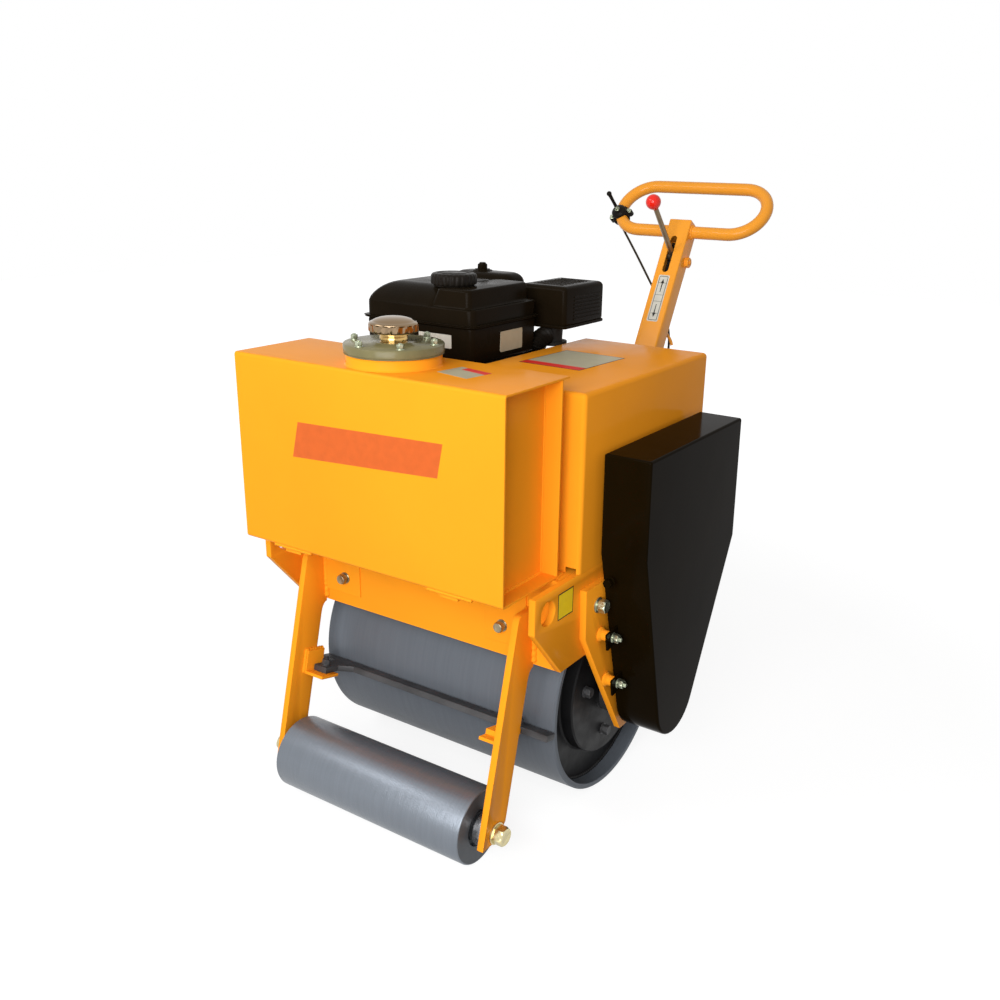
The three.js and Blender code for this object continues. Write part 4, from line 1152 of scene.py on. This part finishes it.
def cylinder_and_head():
    """Cooling fins round the cylinder, and the rocker cover behind them."""
    low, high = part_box("engine_cylinder")
    bm = bmesh.new()
    core = 14 * MM
    box(bm, (low.x + core, low.y, low.z + core), (high.x - core, high.y - 34 * MM, high.z - core))
    fins = 11
    for k in range(fins):
        y = low.y + 5 * MM + (high.y - low.y - 44 * MM) * k / (fins - 1)
        outline = fillet(rectangle(low.x, high.x, low.z, high.z), 14 * MM, 4)
        prism(bm, outline, "y", y, y + 2.6 * MM)
    cover = rectangle(low.x + 16 * MM, high.x - 16 * MM, low.z + 22 * MM, high.z - 22 * MM)
    prism(bm, fillet(cover, 16 * MM, 5), "y", high.y - 36 * MM, high.y)
    piece("cylinder_fins", bm, "machine", CASTING,
          replaces=["engine_cylinder"], bevel=0.8 * MM, segments=2)
    plug = bmesh.new()
    seat = Vector((high.x - 2 * MM, high.y - 60 * MM, high.z - 46 * MM))
    turned(plug, seat, X, mm((9, 0), (9, 6), (7, 8), (7, 26), (10, 28), (10, 44), (8, 46)), 24)
    piece("spark_plug_cap", plug, "machine", PLASTIC)


def crankcase():
    low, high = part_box("engine_crankcase")
    side = MIDDLE
    shaft = Vector((side, AXLE.y + 4 * MM, 0.800))
    bm = bmesh.new()
    rounded_block(bm, (low.x, low.y, low.z), (side, high.y, high.z), 14 * MM, 7 * MM, rows=3)
    for k in range(5):
        y = low.y + 24 * MM + k * 38 * MM
        box(bm, (side - 4 * MM, y, low.z + 18 * MM), (side + 5 * MM, y + 5 * MM, high.z - 20 * MM))
    profile = mm((58, 0), (58, 9), (38, 12), (30, 16)) + [(30 * MM, high.x - side)]
    turned(bm, (side - 2 * MM, shaft.y, shaft.z), X, profile, 48)
    box(bm, (low.x - 14 * MM, low.y - 8 * MM, low.z), (side + 14 * MM, high.y + 8 * MM, low.z + 11 * MM))
    piece("crankcase_casting", bm, "machine", CASTING,
          replaces=["engine_crankcase"], bevel=1.2 * MM, segments=2)
    bolts = bmesh.new()
    for y in (low.y + 14 * MM, high.y - 14 * MM):
        for x in (low.x + 10 * MM, side - 10 * MM):
            bolt(bolts, (x, y, low.z + 11 * MM), Z, BOLT_M10)
    for seat in around(shaft + X * 7 * MM, 0.05, 6):
        bolt(bolts, seat, X, 10 * MM, washer=0, spring=False)
    bolt(bolts, (low.x + 40 * MM, low.y, low.z + 24 * MM), -Y, 17 * MM)
    piece("crankcase_bolts", bolts, "machine", ZINC)
    filler_plug = bmesh.new()
    base = Vector((low.x + 120 * MM, low.y + 2 * MM, low.z + 46 * MM))
    aim = Vector((0, -1, 0.45)).normalized()
    turned(filler_plug, base, aim, mm((14, -6), (14, 14), (19, 15), (19, 24), (16, 27)), 32)
    piece("oil_filler_plug", filler_plug, "machine", PLASTIC)


def recoil_starter():
    low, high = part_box("recoil_starter")
    centre = (low + high) / 2
    radius = (high.z - low.z) / 2
    depth = high.x - low.x
    base = Vector((high.x, centre.y, centre.z))
    bm = bmesh.new()
    shares = ((0.84, 0.5), (0.78, 0.78), (0.70, 0.9), (0.55, 0.93), (0.48, 0.86), (0.22, 0.86),
              (0.18, 1), (0.05, 1))
    profile = [(radius, 0), (radius, depth * 0.30), (radius - 4 * MM, depth * 0.42)]
    profile += [(radius * out, depth * along) for out, along in shares]
    turned(bm, base, -X, profile, 96)
    for tip in around(Vector(), 1.0, 14):
        inner = base - X * depth * 0.55 + tip * radius * 0.80
        tube(bm, [inner, inner - X * depth * 0.2 - tip * radius * 0.02], 3.2 * MM, 10)
    piece("starter_cover", bm, "machine", ENGINE_BLACK,
          replaces=["recoil_starter"], sharp=40)
    holes = bmesh.new()
    for spot in around(base - X * depth * 0.915, radius * 0.625, 22):
        turned(holes, spot, -X, mm((3.4, -2), (3.4, 0.6), (2.4, 0.6), (2.4, -2)), 16, loop=True)
    bolt(holes, base - X * depth * 0.98, -X, 12 * MM, washer=0, spring=False)
    for seat in around(base - X * depth * 0.28, radius - 7 * MM, 3, math.radians(35)):
        bolt(holes, seat, -X, 10 * MM)
    piece("starter_hardware", holes, "machine", ZINC)
    grip = bmesh.new()
    start = base + Vector((-depth * 0.40, -radius * 0.80, radius * 0.42))
    aim = Vector((0, -0.45, 0.9)).normalized()
    turned(grip, start, aim, mm((8, -12), (9, 4), (5, 6), (5, 12)), 24)
    end = start + aim * 17 * MM
    path = [end + X * reach * MM for reach in (-26, -20, 20, 26)]
    tube(grip, path, [5 * MM, 7.5 * MM, 7.5 * MM, 5 * MM], 20)
    piece("starter_grip", grip, "machine", PLASTIC, sharp=50)


def intake_boot():
    """A ribbed elbow between the fuel tank and the exhaust."""
    bm = bmesh.new()
    low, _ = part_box("muffler_guard")
    start = Vector((MIDDLE + 0.002, low.y - 26 * MM, 0.892))
    bends = ((0, 0, 0), (0, 8, 14), (0, 26, 26), (0, 46, 30))
    path = spline([start + Vector(bend) * MM for bend in bends], 10)
    radii = [(17 + 4 * math.cos(i * math.tau / 4)) * MM for i in range(len(path))]
    tube(bm, path, radii, 32)
    piece("intake_boot", bm, "machine", PLASTIC, sharp=70)


# ---------------------------------------------------------------- handle
ARM_HALF, ARM_DEPTH, ARM_LOW, ARM_TOP = 31.5 * MM, 25 * MM, -33 * MM, 788 * MM
ARM_CHAMFER, ARM_CHAMFER_DEPTH = 29 * MM, 16 * MM
SLOT_LOW, SLOT_HIGH, SLOT_MIDDLE, SLOT_HALF = 638 * MM, 740 * MM, -3.5 * MM, 8.8 * MM
LOOP_TUBE, LOOP_STRAIGHT, LOOP_BEND, LOOP_BASE = 16 * MM, 128.3 * MM, 78.7 * MM, 763 * MM
LOOP_TILT = math.radians(17.5)
LEVER_FOOT, LEVER_BALL, BALL_R = Vector((-3.5, 12, 687)) * MM, Vector((0, -193.5, 749.5)) * MM, 19 * MM
CLAMP_TURN = math.pi + math.radians(25)
THROTTLE_TIP = Vector((-212, -62, 832)) * MM
SIDE_BOLT = Vector((0, 13, 684)) * MM
CABLE_HOOK = ((20, 24, 494), (20, 34, 494), (22, 44, 490), (28, 54, 482), (34, 60, 470))
ARM_WALL = 4 * MM
DECAL = {"low": 500.5 * MM, "high": 629.3 * MM, "half": 15.6 * MM, "skin": 0.3 * MM, "inset": 4.8 * MM}


def loop_point(angle):
    """A point of the loop's middle line, in the handle's own frame, from its turn about the ends."""
    x = math.copysign(LOOP_STRAIGHT, math.cos(angle)) + LOOP_BEND * math.cos(angle)
    rise = LOOP_BEND * (1 + math.sin(angle))
    return Vector((x, rise * math.sin(LOOP_TILT), LOOP_BASE + rise * math.cos(LOOP_TILT)))


def handle_arm():
    """The square tube, with its slot cut through the front wall."""
    bm = bmesh.new()
    side = [(-ARM_DEPTH, ARM_LOW), (ARM_DEPTH, ARM_LOW), (ARM_DEPTH, ARM_TOP - ARM_CHAMFER),
            (ARM_DEPTH - ARM_CHAMFER_DEPTH, ARM_TOP), (-ARM_DEPTH, ARM_TOP)]
    prism(bm, side, "x", -ARM_HALF, ARM_HALF)
    obj = piece("arm_tube", bm, "handle", HANDLE_YELLOW,
                replaces=["handle_arm"], matrix=HANDLE)
    round_edges(obj, 4 * MM, 4)
    apply_modifiers(obj)
    wall = ARM_WALL
    cutter = bmesh.new()
    box(cutter, (-ARM_HALF + wall, -ARM_DEPTH + wall, 0.52), (ARM_HALF - wall, ARM_DEPTH - wall, 0.742))
    bmesh.ops.transform(cutter, matrix=HANDLE, verts=cutter.verts)
    cut_away(obj, cutter)
    slot = bmesh.new()
    shape = rectangle(SLOT_MIDDLE - SLOT_HALF, SLOT_MIDDLE + SLOT_HALF, SLOT_LOW, SLOT_HIGH)
    shape = fillet(shape, SLOT_HALF * 0.98, 8)
    prism(slot, shape, "y", -ARM_DEPTH - 5 * MM, -ARM_DEPTH + wall + 2 * MM)
    bmesh.ops.transform(slot, matrix=HANDLE, verts=slot.verts)
    cut_away(obj, slot)
    smooth(obj.data)
    obj.data.set_sharp_from_angle(angle=math.radians(30))


def handle_loop():
    bm = bmesh.new()
    steps, shy = 28, 0.0001
    path = []
    for start in (-math.pi / 2, math.pi / 2):
        path += [loop_point(start + shy + (math.pi - 2 * shy) * k / steps) for k in range(steps + 1)]
    tube(bm, path, LOOP_TUBE, 32, loop=True)
    for side in (-1, 1):
        turns = [math.tau * k / 24 for k in range(25)]
        ring = [Vector((side * (ARM_HALF + 1 * MM), LOOP_TUBE * math.cos(a),
                        LOOP_BASE + LOOP_TUBE * math.sin(a))) for a in turns]
        weld(bm, ring, 3.5 * MM, seed=41)
    piece("loop_tube", bm, "handle", HANDLE_YELLOW,
          replaces=["handle_loop"], matrix=HANDLE, sharp=60)


def travel_lever():
    bm = bmesh.new()
    along = (LEVER_BALL - LEVER_FOOT).normalized()
    length = (LEVER_BALL - LEVER_FOOT).length
    path = [LEVER_FOOT + along * length * k / 12 for k in range(13)]
    tube(bm, path, [(7.4 - 1.2 * k / 12) * MM for k in range(13)], 24)
    barrel = LEVER_FOOT + Vector((-14, -14, 6)) * MM
    turned(bm, barrel, X, mm((9, 0), (10, 1), (10, 27), (9, 28)), 32)
    piece("lever_rod", bm, "handle", LEVER_STEEL, replaces=["travel_lever"], matrix=HANDLE)
    ball = bmesh.new()
    turns = [math.pi * k / 24 for k in range(4, 25)]
    profile = [(7.5 * MM, -BALL_R * 0.955), (8.5 * MM, -BALL_R * 0.90)]
    profile += [(max(BALL_R * math.sin(turn), 0.3 * MM), -BALL_R * math.cos(turn)) for turn in turns]
    turned(ball, LEVER_BALL, along, profile, 48)
    turned(ball, LEVER_BALL - along * (BALL_R + 3 * MM), along, mm((6.2, 0), (8, 1), (8, 5)), 32)
    piece("knob_ball", ball, "handle", RED, replaces=["lever_knob"], matrix=HANDLE, sharp=50)
    # Painted shade inside the hollow arm: a near-black lining on the inner face of the back wall and a
    # near-black plate beside the slot, seen through the slot.
    inside = bmesh.new()
    reach = ARM_HALF - 4.4 * MM
    box(inside, (-reach, ARM_DEPTH - 5 * MM, 0.53), (reach, ARM_DEPTH - 4.2 * MM, 0.74))
    box(inside, (6 * MM, -ARM_DEPTH + 6 * MM, 0.60), (7.5 * MM, ARM_DEPTH - 6 * MM, 0.735))
    piece("arm_inside_painted_shade", inside, "handle", PAINTED_SHADE_BLACK, matrix=HANDLE)


def arm_fittings():
    bm = bmesh.new()
    for side in (-1, 1):
        seat = SIDE_BOLT + X * side * ARM_HALF
        turned(bm, seat, X * side, mm((14, 0), (14, 1.5), (13, 2)), 32)
        hex_head(bm, seat + X * side * 2 * MM, X * side, 24 * MM, 8 * MM)
        stud(bm, seat + X * side * 9 * MM, X * side, 6 * MM, 4 * MM)
    tube(bm, spline([Vector(point) * MM for point in CABLE_HOOK], 6), 4 * MM, 16)
    piece("arm_fittings", bm, "handle", HANDLE_YELLOW, matrix=HANDLE)


def arrow_decal():
    """A plain white plate with a grey border and two arrows."""
    bm = bmesh.new()
    low, high, half, skin, inset = DECAL.values()
    face = -ARM_DEPTH

    def patch(outline, lift, mat):
        prism(bm, outline, "y", face - lift, face, mat)
    patch(fillet(rectangle(-half, half, low, high), 4 * MM, 4), skin, 0)
    inner = fillet(rectangle(-half + 3 * MM, half - 3 * MM, low + 3 * MM, high - 3 * MM), 3 * MM, 4)
    core = fillet(rectangle(-half + inset, half - inset, low + inset, high - inset), 2 * MM, 4)
    patch(inner, skin * 1.3, 1)
    patch(core, skin * 1.6, 0)
    centre = (low + high) / 2
    for way in (1, -1):
        middle = centre + way * 34 * MM
        tip, tail = middle + way * 19 * MM, middle - way * 17 * MM
        neck = tip - way * 12 * MM
        patch([(0, tip), (-5 * MM, neck), (-1.6 * MM, neck), (-1 * MM, tail), (1 * MM, tail),
               (1.6 * MM, neck), (5 * MM, neck)], skin * 2, 2)
    for z in (centre - 9 * MM, centre + 9 * MM, low + 22 * MM, high - 22 * MM):
        patch(rectangle(-half + inset, half - inset, z - 0.5 * MM, z + 0.5 * MM), skin * 1.8, 1)
    piece("arrow_decal", bm, "handle", [LABEL_WHITE, LABEL_BORDER, LABEL_BLACK], matrix=HANDLE)


def throttle():
    """The thumb throttle: a split clamp on the loop, its lever and its screws."""
    centre = loop_point(CLAMP_TURN)
    along = (loop_point(CLAMP_TURN + 0.05) - loop_point(CLAMP_TURN - 0.05)).normalized()
    bm = bmesh.new()
    half = 15 * MM
    profile = from_corner(0, 0, (16.3, 0), (22, 0), (23, 1.5))
    profile += from_corner(0, 2 * half, (23, -1.5), (22, 0), (16.3, 0))
    turned(bm, centre - along * half, along, profile, 48, loop=True)
    out = Vector((0, -1, 0.1)).normalized()
    u = along.cross(out).normalized()
    for way in (-1, 1):
        ear = centre + u * way * 25 * MM
        turned(bm, ear - out * 9 * MM, out, mm((7, 0), (8, 1.5), (8, 16), (7, 18)), 24)
        tube(bm, [centre + u * way * 14 * MM, ear], 8 * MM, 16)
    pivot = centre + out * 20 * MM
    turned(bm, pivot, out, mm((19, -6), (20, -3), (20, 3), (17, 6), (11, 9), (10, 14)), 40)
    start = Vector(UPPER_CABLE[0]) * MM
    tail = [centre + Vector((-2, 2, 0)) * MM, centre.lerp(start, 0.6), start + Vector((3, 1, -5)) * MM]
    tube(bm, tail, [9 * MM, 7 * MM, 5 * MM], 20)
    piece("throttle_body", bm, "handle", PLASTIC,
          replaces=["throttle_clamp"], matrix=HANDLE, sharp=45)
    tip = THROTTLE_TIP
    lever = bmesh.new()
    foot = pivot + out * 9 * MM
    path = [foot.lerp(tip, k / 8) for k in range(9)]
    tube(lever, path, [(5.5 - 1.2 * math.sin(math.pi * k / 8)) * MM for k in range(9)], 16)
    profile = mm((4.5, -5), (6.2, -3), (7, 0), (6.2, 3.5), (3.6, 6), (1, 6.8))
    turned(lever, tip, (tip - foot).normalized(), profile, 24)
    piece("throttle_thumb_lever", lever, "handle", PLASTIC,
          replaces=["throttle_lever"], matrix=HANDLE, sharp=50)
    screws = bmesh.new()
    for way in (-1, 1):
        seat = centre + u * way * 25 * MM + out * 9 * MM
        bolt(screws, seat, out, 8 * MM, washer=1.6, spring=False)
    bolt(screws, pivot + out * 14 * MM, out, 9 * MM, washer=1.5, spring=False, end=3 * MM)
    piece("throttle_screws", screws, "handle", ZINC_GREEN, matrix=HANDLE)


# The cable's points in millimetres, the same as in the part: the upper ones in the handle's own frame.
UPPER_CABLE = (
    (-203, 36, 786), (-132, 38, 705), (-65, 40, 626), (-22, 50, 574), (6, 60, 524), (20, 66, 480),
    (24, 68, 440), (14, 66, 370), (-14, 58, 280), (-46, 44, 180), (-68, 26, 90), (-74, 10, 30), (-74, 0, 5),
)
LOWER_CABLE = (
    (-74, 477, 443), (-78, 462, 462), (-84, 432, 510), (-92, 396, 580), (-100, 356, 660),
    (-106, 318, 740), (-108, 288, 796), (-108, 268, 822), (-108, 253, 836),
)


def throttle_cable():
    """One Bowden cable in one mesh, led with a turn beside the handle's pivot."""
    upper = [HANDLE @ (Vector(point) * MM) for point in UPPER_CABLE]
    lower = [Vector((MIDDLE + x * MM, AXLE.y + y * MM, z * MM)) for x, y, z in LOWER_CABLE]
    turn = PIVOT + Vector((-75, 3, -6)) * MM
    path = spline(upper[:-1] + [turn] + lower[1:], 10)
    bm = bmesh.new()
    tube(bm, path, 3 * MM, 14)
    obj = shaped("throttle_cable", bm, SHEATH)
    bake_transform(obj)
    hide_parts("throttle_cable_upper", "throttle_cable_lower")


def pivot_bolt():
    low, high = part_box("handle_pivot_pin")
    bm = bmesh.new()
    shaft = [(10 * MM, 0), (10 * MM, high.x - low.x - 12 * MM)]
    turned(bm, Vector((low.x + 8 * MM, PIVOT.y, PIVOT.z)), X, shaft, 32)
    lug = X * 48.7 * MM
    seat = PIVOT + lug
    hex_head(bm, seat, X, 27 * MM, 10 * MM)
    stud(bm, seat + X * 9 * MM, X, 8 * MM, 4 * MM)
    hex_head(bm, PIVOT - lug, -X, 27 * MM, 9 * MM)
    piece("pivot_bolt", bm, "machine", ZINC, replaces=["handle_pivot_pin"])
    base_low, base_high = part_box("handle_bracket")
    bolts = bmesh.new()
    for x in (-1, 1):
        for z in (base_low.z + 16 * MM, base_high.z - 16 * MM):
            bolt(bolts, (PIVOT.x + x * 58 * MM, AXLE.y + BRACKET_FACE, z), Y, BOLT_M10)
    piece("bracket_bolts", bolts, "machine", ZINC_GREEN)


# ---------------------------------------------------------------- build
for build in (
    build_camera, build_stage, frame_plates, front_pads, frame_welds, yoke_hardware, drive_side,
    side_sticker, drum, drum_ends, support_roller, roller_axle, scraper_hardware, tank_body, tank_labels,
    filler, hood, hood_label, belt_guard, fuel_tank, fuel_cap, air_cleaner, muffler_guard,
    cylinder_and_head, crankcase, recoil_starter, intake_boot, handle_arm, handle_loop, travel_lever,
    arm_fittings, arrow_decal, throttle, throttle_cable, pivot_bolt,
):
    build()
